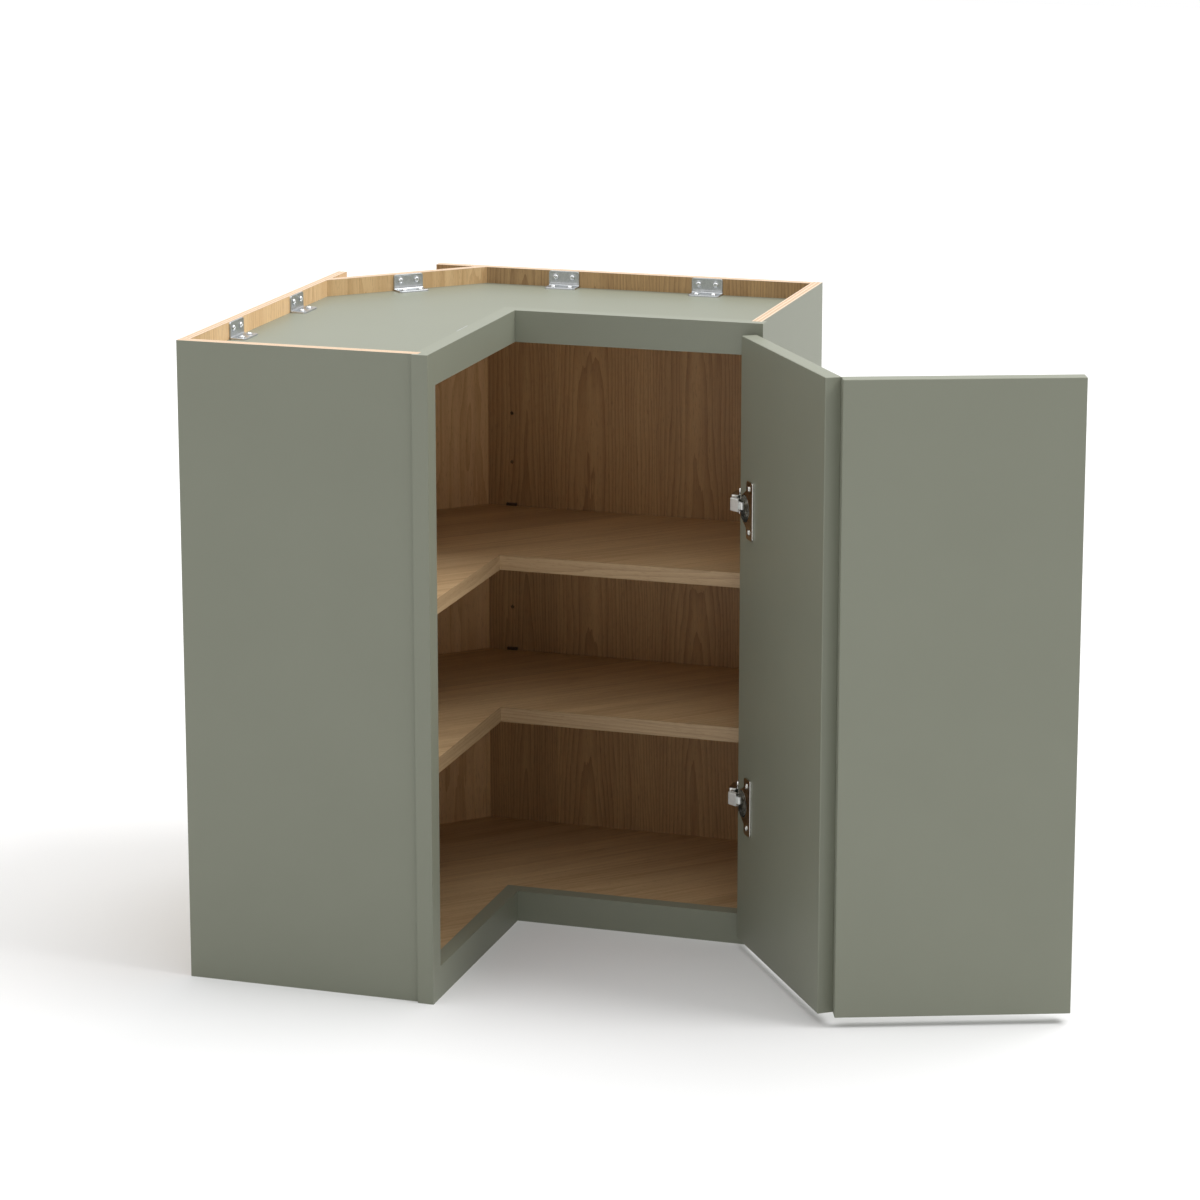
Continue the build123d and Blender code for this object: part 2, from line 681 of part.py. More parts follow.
with BuildPart() as hinge_cup_pins:
    with Locations(lower_hinge, upper_hinge):
        add(cup_pin_solid.part)

with BuildPart() as hinge_cup_screws:
    with Locations(*cup_screw_spots):
        add(screw.part)

# ---------------------------------------------------------------- fold hinges between the leaves
# Two plates lie on the leaves' outer faces and carry the knuckles in the corner between.
fold_plate_low = leaf_thickness
with BuildPart() as fold_plate_right:
    with BuildSketch(right_leaf.offset(-fold_hinge_half_height)):
        with BuildLine():
            Polyline((leaf_width - fold_in, fold_plate_low), (leaf_width - fold_in - fold_plate_width, fold_plate_low),
                     (leaf_width - fold_in - fold_plate_width, fold_plate_low + fold_plate_thickness),
                     (leaf_width - fold_in, fold_plate_low + fold_plate_thickness), close=True)
        make_face()
    extrude(amount=2 * fold_hinge_half_height)
    with BuildSketch(right_leaf.offset(-fold_hinge_half_height)):
        with Locations((leaf_width - fold_in, fold_out)):
            Circle(fold_knuckle_radius)
    extrude(amount=2 * fold_hinge_half_height)
    with BuildSketch(right_leaf.offset(-fold_middle_half_height - fold_knuckle_gap)):
        with Locations((leaf_width - fold_in, fold_out)):
            Circle(fold_knuckle_radius + 2 * fold_knuckle_clearance)
    extrude(amount=2 * (fold_middle_half_height + fold_knuckle_gap), mode=Mode.SUBTRACT)
    with Locations((fold_axis.X, fold_axis.Y, fold_hinge_half_height)):
        Hole(fold_pin_radius + fold_pin_play, depth=2 * fold_hinge_half_height)
    with Locations(*[right_leaf * Location((leaf_width - fold_in - fold_screw_inset,
                                                      fold_plate_low + fold_plate_thickness,
                                                      s * fold_screw_height), (-90, 0, 0))
                     for s in (-1, 1)]):
        Hole(screw_shank_radius + 2 * screw_play, depth=fold_plate_thickness)

with BuildPart() as fold_plate_left:
    with BuildSketch(left_leaf.offset(-fold_hinge_half_height)):
        with BuildLine():
            Polyline((fold_in, fold_plate_low), (fold_in + fold_plate_width, fold_plate_low),
                     (fold_in + fold_plate_width, fold_plate_low + fold_plate_thickness),
                     (fold_in, fold_plate_low + fold_plate_thickness), close=True)
        make_face()
    extrude(amount=2 * fold_hinge_half_height)
    for low in (-fold_hinge_half_height, fold_middle_half_height):
        with BuildSketch(left_leaf.offset(low)):
            with Locations((fold_in, fold_out)):
                Circle(fold_knuckle_radius + 2 * fold_knuckle_clearance)
        extrude(amount=fold_hinge_half_height - fold_middle_half_height, mode=Mode.SUBTRACT)
    with BuildSketch(left_leaf.offset(-fold_middle_half_height)):
        with Locations((fold_in, fold_out)):
            Circle(fold_knuckle_radius)
    extrude(amount=2 * fold_middle_half_height)
    with Locations((fold_axis.X, fold_axis.Y, fold_hinge_half_height)):
        Hole(fold_pin_radius + fold_pin_play, depth=2 * fold_hinge_half_height)
    with Locations(*[left_leaf * Location((fold_in + fold_screw_inset,
                                                     fold_plate_low + fold_plate_thickness,
                                                     s * fold_screw_height), (-90, 0, 0))
                     for s in (-1, 1)]):
        Hole(screw_shank_radius + 2 * screw_play, depth=fold_plate_thickness)

fold_levels = [Location((0, 0, height)) for height in fold_hinge_heights]
fold_right_spots = [
    right_leaf * Location((leaf_width - fold_in - fold_screw_inset, fold_plate_low + fold_plate_thickness,
                           height + s * fold_screw_height), (-90, 0, 0))
    for height in fold_hinge_heights for s in (-1, 1)
]
fold_left_spots = [
    left_leaf * Location((fold_in + fold_screw_inset, fold_plate_low + fold_plate_thickness,
                          height + s * fold_screw_height), (-90, 0, 0))
    for height in fold_hinge_heights for s in (-1, 1)
]

with BuildPart() as fold_hinge_plates_right:
    with Locations(*fold_levels):
        add(fold_plate_right.part)

with BuildPart() as fold_hinge_plates_left:
    with Locations(*fold_levels):
        add(fold_plate_left.part)

with BuildPart() as fold_hinge_pins:
    with Locations(*[(fold_axis.X, fold_axis.Y, height) for height in fold_hinge_heights]):
        Cylinder(fold_pin_radius, 2 * fold_hinge_half_height)

with BuildPart() as fold_hinge_screws_right:
    with Locations(*fold_right_spots):
        add(screw.part)

with BuildPart() as fold_hinge_screws_left:
    with Locations(*fold_left_spots):
        add(screw.part)

# ---------------------------------------------------------------- door leaves
with BuildPart() as door_leaf_right:
    with BuildSketch(right_leaf.offset(leaf_bottom)):
        with BuildLine():
            Polyline((0, 0), (leaf_width, 0), (leaf_width, leaf_thickness), (0, leaf_thickness), close=True)
        make_face()
    extrude(amount=leaf_top - leaf_bottom)
    fillet(door_leaf_right.edges(), radius=leaf_edge_radius)
    with Locations(*[inner_place(right_leaf, cup_centre, height) for height in hinge_heights]):
        Hole(cup_radius + cup_bore_play, depth=cup_depth + cup_bore_play)
    for height in hinge_heights:
        with BuildSketch(inner_place(right_leaf, 0, height).offset(-notch_depth)):
            Rectangle(2 * cup_centre, 2 * notch_half_height)
        extrude(amount=2 * notch_depth, mode=Mode.SUBTRACT)
    with Locations(*cup_screw_spots, *fold_right_spots):
        Hole(screw_shank_radius + screw_play, depth=screw_length + screw_play)

with BuildPart() as door_leaf_left:
    with BuildSketch(left_leaf.offset(leaf_bottom)):
        with BuildLine():
            Polyline((0, 0), (leaf_width, 0), (leaf_width, leaf_thickness), (0, leaf_thickness), close=True)
        make_face()
    extrude(amount=leaf_top - leaf_bottom)
    fillet(door_leaf_left.edges(), radius=leaf_edge_radius)
    with Locations(*fold_left_spots):
        Hole(screw_shank_radius + screw_play, depth=screw_length + screw_play)

# ---------------------------------------------------------------- labels and files
pieces = {
    "end_panel_left": end_panel_left, "end_panel_right": end_panel_right,
    "back_panel_left": back_panel_left, "back_panel_rear": back_panel_rear,
    "back_panel_diagonal": back_panel_diagonal, "top_panel": top_panel, "bottom_panel": bottom_panel,
    "stile_left": stile_left, "stile_right": stile_right,
    "top_rail_left": top_rail_left, "top_rail_rear": top_rail_rear,
    "bottom_rail_left": bottom_rail_left, "bottom_rail_rear": bottom_rail_rear,
    "shelf_upper": shelf_upper, "shelf_lower": shelf_lower,
    "shelf_upper_edging": shelf_upper_edging, "shelf_lower_edging": shelf_lower_edging,
    "shelf_clips_upper": shelf_clips_upper, "shelf_clips_lower": shelf_clips_lower,
    "top_brackets": top_brackets, "top_bracket_screws": top_bracket_screws,
    "hinge_arm_upper": hinge_arm_upper, "hinge_arm_lower": hinge_arm_lower,
    "hinge_arm_pins": hinge_arm_pins, "hinge_arm_screws": hinge_arm_screws,
    "hinge_link_upper": hinge_link_upper, "hinge_link_lower": hinge_link_lower,
    "hinge_cup_upper": hinge_cup_upper, "hinge_cup_lower": hinge_cup_lower,
    "hinge_cup_pins": hinge_cup_pins, "hinge_cup_screws": hinge_cup_screws,
    "door_leaf_right": door_leaf_right, "door_leaf_left": door_leaf_left,
    "fold_hinge_plates_right": fold_hinge_plates_right, "fold_hinge_plates_left": fold_hinge_plates_left,
    "fold_hinge_pins": fold_hinge_pins,
    "fold_hinge_screws_right": fold_hinge_screws_right, "fold_hinge_screws_left": fold_hinge_screws_left,
}
for name, piece in pieces.items():
    piece.part.label = name
    export_step(piece.part, f"parts/{name}.step")
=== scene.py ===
"""Corner wall cabinet with folding slab doors, dressed and lit for its picture.

Every length is in metres, in the row's frame: the origin is the room corner at the
cabinet's underside, +X runs along the rear wall, -Y along the left wall, +Z is up.
"""
from __future__ import annotations

import logging
import math
from dataclasses import dataclass, field
from enum import Enum
from typing import Any

import bmesh
import bpy
import numpy as np
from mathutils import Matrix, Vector

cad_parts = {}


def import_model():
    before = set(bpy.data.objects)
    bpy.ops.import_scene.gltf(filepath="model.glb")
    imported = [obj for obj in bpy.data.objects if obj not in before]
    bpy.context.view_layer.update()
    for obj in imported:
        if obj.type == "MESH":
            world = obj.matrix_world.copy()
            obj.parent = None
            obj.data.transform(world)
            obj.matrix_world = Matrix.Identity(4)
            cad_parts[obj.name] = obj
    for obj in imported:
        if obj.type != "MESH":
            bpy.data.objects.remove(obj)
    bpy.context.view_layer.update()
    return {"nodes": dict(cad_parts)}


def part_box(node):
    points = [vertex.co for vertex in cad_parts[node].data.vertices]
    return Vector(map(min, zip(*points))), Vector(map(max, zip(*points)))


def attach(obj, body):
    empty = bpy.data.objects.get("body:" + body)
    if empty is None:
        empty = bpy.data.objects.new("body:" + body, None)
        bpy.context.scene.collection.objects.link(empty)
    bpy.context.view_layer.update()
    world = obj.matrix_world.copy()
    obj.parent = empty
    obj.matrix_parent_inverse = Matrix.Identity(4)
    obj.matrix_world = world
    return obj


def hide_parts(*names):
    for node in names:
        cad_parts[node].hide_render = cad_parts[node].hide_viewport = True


LOG = logging.getLogger("cabinet")
MM = 0.001
Tree = bpy.types.NodeTree
# A shell's points, (N, 3), and its faces, one array for each number of corners.
Shell = tuple[np.ndarray, list[np.ndarray]]


# ---- small helpers
def linear(hex_colour: str, factor: float = 1.0) -> tuple[float, float, float, float]:
    """Turns an sRGB hex colour into the linear values that a shader reads.

    Args:
        hex_colour: six hex digits, with or without a leading hash.
        factor: what the linear values are multiplied by.

    Returns:
        Red, green, blue and an alpha of 1.
    """
    digits = hex_colour.lstrip("#")
    srgb = np.array([int(digits[i:i + 2], 16) for i in (0, 2, 4)]) / 255.0
    low = srgb / 12.92
    high = ((srgb + 0.055) / 1.055) ** 2.4
    r, g, b = (factor * np.where(srgb <= 0.04045, low, high)).tolist()
    return (r, g, b, 1.0)


def add_node(tree: Tree, kind: str, feed: Any = (), out: int | str = 0,
             **settings: Any) -> Any:
    """Adds one node with its settings and links.

    Args:
        tree: the node tree that takes the node.
        kind: the node's type, without its "ShaderNode" beginning.
        feed: values or output sockets for its inputs, in order, or by name or number in
            a dictionary.
        out: the output that is handed back, by name or number.
        settings: properties of the node, by name.

    Returns:
        The chosen output socket, or the node where it has none.
    """
    node = tree.nodes.new("ShaderNode" + kind)
    for name, value in settings.items():
        setattr(node, name, value)
    for key, value in (feed.items() if isinstance(feed, dict) else enumerate(feed)):
        if isinstance(value, bpy.types.NodeSocket):
            tree.links.new(value, node.inputs[key])
        else:
            node.inputs[key].default_value = value
    return node.outputs[out] if len(node.outputs) else node


def bare_tree(owner: Any) -> Tree:
    """Turns on the nodes of a material or a world and empties their tree.

    Args:
        owner: the material or the world.

    Returns:
        Its empty node tree.
    """
    owner.use_nodes = True
    owner.node_tree.nodes.clear()
    return owner.node_tree


def stretched_noise(tree: Tree, place: Any, size: tuple[float, ...], detail: float,
                    turn: float = 0.0) -> Any:
    """Smooth noise whose patches have a real size along each axis.

    Args:
        tree: the node tree.
        place: the point's place, in metres.
        size: the patch's length along X, Y and Z, in metres.
        detail: octaves of finer noise.
        turn: the axes' turn about Z, in radians.

    Returns:
        The socket of a number from 0 to 1.
    """
    turned = add_node(tree, "Mapping", {"Vector": place, "Rotation": (0.0, 0.0, turn)})
    scaled = add_node(tree, "VectorMath", [turned, tuple(1.0 / s for s in size)], operation="MULTIPLY")
    return add_node(tree, "TexNoise", {"Vector": scaled, "Scale": 1.0, "Detail": detail})


def board_reach(tree: Tree, place: Any, axis: str) -> Any:
    """Finds how far along an axis a point lies.

    Args:
        tree: the node tree.
        place: the point's place, in metres.
        axis: X, Y or Z, or D for the plan distance x - y.

    Returns:
        The coordinate's socket, in metres.
    """
    if axis != "D":
        return add_node(tree, "SeparateXYZ", [place], axis)
    x = add_node(tree, "SeparateXYZ", [place], "X")
    y = add_node(tree, "SeparateXYZ", [place], "Y")
    return add_node(tree, "Math", [x, y], operation="SUBTRACT")


class GrainRun(Enum):
    """Which way the veneer's grain runs on a board."""

    UPRIGHT = "up the board"
    DIAGONAL = "from the front left to the rear right"
    LENGTHWAYS = "along a thin level strip"


class Side(Enum):
    """A side of a board: the axis that it faces, and whether it is at that axis's high end.

    D is the plan distance x - y from the room corner, across which the diagonal back lies.
    """

    EAST = ("X", True)
    WEST = ("X", False)
    NORTH = ("Y", True)
    SOUTH = ("Y", False)
    TOP = ("Z", True)
    UNDER = ("Z", False)
    CORNERWARD = ("D", False)


# ---- finishes
@dataclass(frozen=True)
class Finish:
    """What every finish shares: a figure of colour and height, a roughness and a bump."""

    roughness: float = 0.5
    bump_strength: float = 0.35
    bump_depth: float = 0.08 * MM
    metallic: float = 0.0

    def figure(self, tree: Tree, place: Any) -> tuple[Any, Any]:
        """Works out the finish at a point.

        Args:
            tree: the node tree.
            place: the point's place, in metres.

        Returns:
            The colour's socket and the height's socket, the height in bump depths.
        """
        raise NotImplementedError

    def sheen(self, tree: Tree, place: Any) -> Any:
        """The roughness at a point, as a number or as a socket."""
        return self.roughness

    def material(self, name: str) -> bpy.types.Material:
        """Builds the finish as a material.

        Args:
            name: the material's name.

        Returns:
            The material.
        """
        material = bpy.data.materials.new(name)
        tree = bare_tree(material)
        place = add_node(tree, "TexCoord", out="Object")
        colour, height = self.figure(tree, place)
        bump = add_node(tree, "Bump", {"Strength": self.bump_strength, "Distance": self.bump_depth,
                                       "Height": height})
        shader = add_node(tree, "BsdfPrincipled", {
            "Base Color": colour, "Metallic": self.metallic, "Roughness": self.sheen(tree, place),
            "Normal": bump})
        add_node(tree, "OutputMaterial", [shader])
        return material


@dataclass(frozen=True)
class PlainFinish(Finish):
    """One colour that drifts in soft patches towards a shade, over a fine even relief.

    Without a shade of its own it drifts towards the same colour times the shade factor,
    and without a relief of its own the patches are the relief too.
    """

    colour: str = "#808080"
    shade: str = ""
    shade_factor: float = 1.0
    patch: float = 4 * MM
    patch_detail: float = 3.0
    relief: tuple[float, ...] = ()
    relief_detail: float = 2.0
    drift: float = 0.0
    drift_patch: float = 0.0
    drift_detail: float = 3.0

    def figure(self, tree: Tree, place: Any) -> tuple[Any, Any]:
        """Mixes the two colours by noise and adds the relief.

        Args:
            tree: the node tree.
            place: the point's place, in metres.

        Returns:
            The colour's socket and the height's socket.
        """
        patches = stretched_noise(tree, place, (self.patch,) * 3, self.patch_detail)
        shade = linear(self.shade or self.colour, self.shade_factor)
        colour = add_node(tree, "Mix", {0: patches, 6: linear(self.colour), 7: shade}, 2,
                          data_type="RGBA")
        if not self.relief:
            return colour, patches
        return colour, stretched_noise(tree, place, self.relief, self.relief_detail)

    def sheen(self, tree: Tree, place: Any) -> Any:
        """The roughness, which drifts from patch to patch by as much as the drift.

        Args:
            tree: the node tree.
            place: the point's place, in metres.

        Returns:
            The roughness's socket, or a number where it doesn't drift.
        """
        if not self.drift:
            return self.roughness
        size = (self.drift_patch or self.patch,) * 3
        patches = stretched_noise(tree, place, size, self.drift_detail)
        return add_node(tree, "Math", [patches, self.drift, self.roughness - self.drift / 2],
                        operation="MULTIPLY_ADD")


@dataclass(frozen=True)
class SageLacquer(PlainFinish):
    """Satin lacquer sprayed on sanded board: even colour, a soft sheen and faint orange peel.

    The colour drifts over a hand's width, and the roughness where the spray lapped.
    """

    colour: str = "#8B8E7E"
    shade: str = "#868979"
    roughness: float = 0.46
    bump_strength: float = 0.25
    bump_depth: float = 0.03 * MM
    patch: float = 120 * MM
    relief: tuple[float, ...] = (1.6 * MM,) * 3
    relief_detail: float = 1.0
    drift: float = 0.06
    drift_patch: float = 50 * MM
    drift_detail: float = 2.0


@dataclass(frozen=True)
class PlatedSteel(PlainFinish):
    """Pressed steel, nickel or zinc plated: bright, with duller patches and a drifting sheen.

    The relief is the upright rolling marks. Real ones are about 0.1 mm wide, and they are
    drawn 0.5 mm wide because finer ones would only be noise at the picture's size.
    """

    colour: str = "#C9C8C3"
    shade_factor: float = 0.84
    roughness: float = 0.2
    bump_strength: float = 0.2
    bump_depth: float = 0.02 * MM
    metallic: float = 1.0
    relief: tuple[float, ...] = (0.5 * MM, 0.5 * MM, 3 * MM)
    drift: float = 0.1


@dataclass(frozen=True)
class MouldedNylon(PlainFinish):
    """Injection-moulded nylon: a dull brown, a little paler on its spark-eroded texture.

    Real texture of this kind is about 0.1 mm, and it is drawn at 0.4 mm because a finer one
    wouldn't show.
    """

    colour: str = "#453426"
    shade_factor: float = 1.2
    roughness: float = 0.55
    bump_strength: float = 0.3
    bump_depth: float = 0.03 * MM
    patch: float = 0.4 * MM
    patch_detail: float = 2.0


@dataclass(frozen=True)
class AshVeneer(Finish):
    """Clear-coated ash veneer: ring lines that open into cathedrals, soft streaks and fine pores.

    Its lengths are real ones: the ring gap is the growth of a year, and a leaf is the width
    of one sheet of veneer, which differs a little from its neighbour. A noise's two sizes
    are across and along the grain, a share is how far a feature pulls the pale colour to
    its own, and a per-luck pair is what a leaf's luck adds and what it adds to. Real pores
    are about 0.25 mm wide, and they are drawn 0.6 mm wide because finer ones would vanish
    at the picture's size.
    """

    pale: str = "#D8B585"
    ring: str = "#A1794C"
    pore: str = "#86623E"
    leaf: float = 137 * MM
    ring_gap: float = 3.7 * MM
    ring_edge: float = 2.2
    slant: float = 0.03
    heart_per_luck: tuple[float, float] = (0.5, -0.75)
    heart_sway: float = 24 * MM
    sway_size: tuple[float, float] = (45 * MM, 420 * MM)
    pith_per_luck: tuple[float, float] = (30 * MM, -4 * MM)
    pith_sway: float = 17 * MM
    dip_size: tuple[float, float] = (80 * MM, 300 * MM)
    ripple_rings: float = 1.1
    ripple_size: tuple[float, float] = (9 * MM, 130 * MM)
    leaf_jump: tuple[float, float] = (3.1, 5.3)
    base_share: float = 0.12
    line_share: float = 0.46
    streak_share: float = 0.5
    broad_factor: float = 1.5
    fibre_share: float = 0.4
    fibre_height: float = 0.4
    broad_streak: tuple[float, float] = (24 * MM, 520 * MM)
    fine_streak: tuple[float, float] = (3.4 * MM, 140 * MM)
    fibre: tuple[float, float] = (0.8 * MM, 34 * MM)
    pore_size: tuple[float, float] = (0.6 * MM, 10 * MM)
    pore_range: tuple[float, float] = (0.10, 0.22)
    pore_share: float = 0.4
    pore_depth: float = 1.5
    tone_per_luck: tuple[float, float] = (0.16, 0.92)
    run: GrainRun = GrainRun.UPRIGHT

    def across_and_along(self, tree: Tree, place: Any) -> tuple[Any, Any]:
        """Measures a point's place by the grain.

        Args:
            tree: the node tree.
            place: the point's place, in metres.

        Returns:
            The sockets of the distances across and along the grain, in metres.
        """
        x = add_node(tree, "SeparateXYZ", [place], "X")
        y = add_node(tree, "SeparateXYZ", [place], "Y")
        z = add_node(tree, "SeparateXYZ", [place], "Z")
        if self.run is GrainRun.LENGTHWAYS:
            return z, x
        across = add_node(tree, "Math", [x, y], operation="SUBTRACT")
        if self.run is GrainRun.UPRIGHT:
            return across, z
        along = add_node(tree, "Math", [x, y], operation="ADD")
        return (add_node(tree, "Math", [across, math.sqrt(0.5)], operation="MULTIPLY"),
                add_node(tree, "Math", [along, math.sqrt(0.5)], operation="MULTIPLY"))

    def streak(self, tree: Tree, place: Any, wide: float, long: float, detail: float) -> Any:
        """Noise drawn out along the grain.

        Args:
            tree: the node tree.
            place: the point's place, in metres.
            wide: the streak's size across the grain, in metres.
            long: its size along the grain, in metres.
            detail: octaves of finer noise.

        Returns:
            The socket of a number from -0.5 to 0.5.
        """
        size = {GrainRun.UPRIGHT: (wide, wide, long), GrainRun.DIAGONAL: (long, wide, wide),
                GrainRun.LENGTHWAYS: (long, long, wide)}[self.run]
        turn = math.radians(45) if self.run is GrainRun.DIAGONAL else 0.0
        noise = stretched_noise(tree, place, size, detail, -turn)
        return add_node(tree, "Math", [noise, 0.5], operation="SUBTRACT")

    def rings(self, tree: Tree, sheet: Any, across: Any, along: Any, luck: Any) -> Any:
        """The count of year rings from the pith, which the veneer cuts in a slant.

        The ring count is the root of (across from the leaf's heart)^2 + (depth under the
        pith)^2, over the ring gap, and the depth grows slowly along the grain, so that the
        lines run straight at a leaf's sides and close into pointed arches at its heart.

        Args:
            tree: the node tree.
            sheet: the point's place, set apart for each leaf, in metres.
            across: the distance across the grain.
            along: the distance along it.
            luck: a random number of the leaf, from 0 to 1.

        Returns:
            The count's socket.
        """
        spread, shift = self.heart_per_luck
        leaves = add_node(tree, "Math", [across, self.leaf], operation="DIVIDE")
        within = add_node(tree, "Math", [leaves], operation="FRACT")
        within = add_node(tree, "Math", [within, -shift], operation="SUBTRACT")
        heart = add_node(tree, "Math", [luck, spread, within], operation="MULTIPLY_ADD")
        heart = add_node(tree, "Math", [heart, self.leaf], operation="MULTIPLY")
        sway = self.streak(tree, sheet, *self.sway_size, 2.0)
        heart = add_node(tree, "Math", [sway, self.heart_sway, heart], operation="MULTIPLY_ADD")
        depth = add_node(tree, "Math", [luck, *self.pith_per_luck], operation="MULTIPLY_ADD")
        depth = add_node(tree, "Math", [along, self.slant, depth], operation="MULTIPLY_ADD")
        dip = self.streak(tree, sheet, *self.dip_size, 1.0)
        depth = add_node(tree, "Math", [dip, self.pith_sway, depth], operation="MULTIPLY_ADD")
        heart = add_node(tree, "Math", [heart, heart], operation="MULTIPLY")
        depth = add_node(tree, "Math", [depth, depth], operation="MULTIPLY")
        reach = add_node(tree, "Math", [heart, depth], operation="ADD")
        reach = add_node(tree, "Math", [reach], operation="SQRT")
        ripple = self.streak(tree, sheet, *self.ripple_size, 2.0)
        count = add_node(tree, "Math", [reach, self.ring_gap], operation="DIVIDE")
        return add_node(tree, "Math", [ripple, self.ripple_rings, count], operation="MULTIPLY_ADD")

    def figure(self, tree: Tree, place: Any) -> tuple[Any, Any]:
        """Ring lines, three sizes of streak and open pores, over each leaf's own tone.

        A random number of the leaf moves the noise far off, so no two leaves look alike.

        Args:
            tree: the node tree.
            place: the point's place, in metres.

        Returns:
            The colour's socket and the height's socket.
        """
        across, along = self.across_and_along(tree, place)
        leaves = add_node(tree, "Math", [across, self.leaf], operation="DIVIDE")
        leaf_no = add_node(tree, "Math", [leaves], operation="FLOOR")
        luck = add_node(tree, "TexWhiteNoise", {"W": leaf_no}, "Value", noise_dimensions="1D")
        jumps = [add_node(tree, "Math", [luck, metres], operation="MULTIPLY")
                 for metres in self.leaf_jump]
        jump = add_node(tree, "CombineXYZ", {0: jumps[0], 2: jumps[1]})
        sheet = add_node(tree, "VectorMath", [place, jump], operation="ADD")
        count = self.rings(tree, sheet, across, along, luck)
        line = add_node(tree, "Math", [count], operation="FRACT")
        line = add_node(tree, "Math", [line, self.ring_edge], operation="POWER")
        fibres = self.streak(tree, sheet, *self.fibre, 2.0)
        share = add_node(tree, "Math", [line, self.line_share, self.base_share],
                         operation="MULTIPLY_ADD")
        broad = self.streak(tree, sheet, *self.broad_streak, 3.0)
        fine = self.streak(tree, sheet, *self.fine_streak, 2.0)
        for noise, part in ((broad, self.broad_factor * self.streak_share),
                            (fine, self.streak_share), (fibres, self.fibre_share)):
            share = add_node(tree, "Math", [noise, part, share], operation="MULTIPLY_ADD")
        body = add_node(tree, "Mix", {0: share, 6: linear(self.pale), 7: linear(self.ring)}, 2,
                        data_type="RGBA")
        pits = self.streak(tree, sheet, *self.pore_size, 1.0)
        pores = add_node(tree, "MapRange", [pits, *self.pore_range, 0.0, self.pore_share])
        body = add_node(tree, "Mix", {0: pores, 6: body, 7: linear(self.pore)}, 2, data_type="RGBA")
        tone = add_node(tree, "Math", [luck, *self.tone_per_luck], operation="MULTIPLY_ADD")
        body = add_node(tree, "HueSaturation", {"Value": tone, "Color": body})
        height = add_node(tree, "Math", [fibres, self.fibre_height], operation="MULTIPLY")
        return body, add_node(tree, "Math", [pores, -self.pore_depth, height],
                              operation="MULTIPLY_ADD")


# The rear back and the left end: the same ash, painted a deep warm brown as painted shade for where
# they stand in shade.
SHADE_DARKENED_VENEER = AshVeneer(pale="#C5A172", ring="#845F3A", pore="#6A4D30")
# The left back: the same ash, painted a pale honey as painted light for where the side lamp falls on
# it.
LIGHT_PALED_VENEER = AshVeneer(pale="#F6D2A1", ring="#CB9B67", pore="#A07A50", line_share=0.4)
# The diagonal back and the right end: the same ash, painted a warm straw between the two as painted
# half light.
HALF_SHADED_VENEER = AshVeneer(pale="#EDC996", ring="#BC8F5C", pore="#91714A", line_share=0.4)
# The level boards, a broad soft figure with faint lines that runs askew over them.
LEVEL_VENEER = AshVeneer(pale="#CDB087", ring="#9A754E", line_share=0.22, streak_share=0.7,
                         ring_gap=9 * MM, run=GrainRun.DIAGONAL)
# The strips on the shelves' fronts, with quiet long lines.
STRIP_VENEER = AshVeneer(pale="#BA9E79", ring="#876745", line_share=0.35, streak_share=0.5,
                         ring_gap=5 * MM, run=GrainRun.LENGTHWAYS)
# The outer faces, which go against the room's walls, are plain uncoated ash of a poorer grade.
RAW_VENEER = AshVeneer(pale="#DCC9A9", ring="#BFA581", pore="#A58A68", line_share=0.4,
                       roughness=0.65)


@dataclass(frozen=True)
class PlyEdge(Finish):
    """Sawn ply edge: pale plies in turn long grain and end grain, with dark glue lines.

    The glue's width is a share of one ply, and the tear shifts the plies by up to its share.
    """

    pale: str = "#EFDAC2"
    end_grain: str = "#D5B594"
    glue: str = "#A98767"
    roughness: float = 0.7
    plies: int = 5
    tear: float = 9 * MM
    tear_plies: float = 0.5
    fibre: float = 1.4 * MM
    fibre_share: float = 0.45
    glue_width: float = 0.16
    glue_share: float = 0.6
    through: str = "X"
    low: float = 0.0
    high: float = 12 * MM

    def figure(self, tree: Tree, place: Any) -> tuple[Any, Any]:
        """Stripes by how far through the board the point is, roughened by torn fibres.

        Args:
            tree: the node tree.
            place: the point's place, in metres.

        Returns:
            The colour's socket and the height's socket.
        """
        reach = board_reach(tree, place, self.through)
        depth = add_node(tree, "Math", [reach, self.low], operation="SUBTRACT")
        ply = add_node(tree, "Math", [depth, self.plies / (self.high - self.low)], operation="MULTIPLY")
        ragged = stretched_noise(tree, place, (self.tear,) * 3, 3.0)
        ply = add_node(tree, "Math", [ragged, self.tear_plies, ply], operation="MULTIPLY_ADD")
        turn = add_node(tree, "Math", [ply, 2.0], operation="MODULO")
        odd = add_node(tree, "Math", [turn, 1.0], operation="GREATER_THAN")
        fibres = stretched_noise(tree, place, (self.fibre,) * 3, 3.0)
        body = add_node(tree, "Mix", {0: odd, 6: linear(self.pale), 7: linear(self.end_grain)}, 2,
                        data_type="RGBA")
        glue = add_node(tree, "Math", [ply], operation="FRACT")
        glue = add_node(tree, "Math", [glue, self.glue_width], operation="LESS_THAN")
        glue = add_node(tree, "Math", [glue, self.glue_share], operation="MULTIPLY")
        dark = add_node(tree, "Math", [fibres, self.fibre_share], operation="MULTIPLY")
        dark = add_node(tree, "Math", [glue, dark], operation="MAXIMUM")
        body = add_node(tree, "Mix", {0: dark, 6: body, 7: linear(self.glue)}, 2, data_type="RGBA")
        return body, add_node(tree, "Math", [fibres, glue], operation="SUBTRACT")


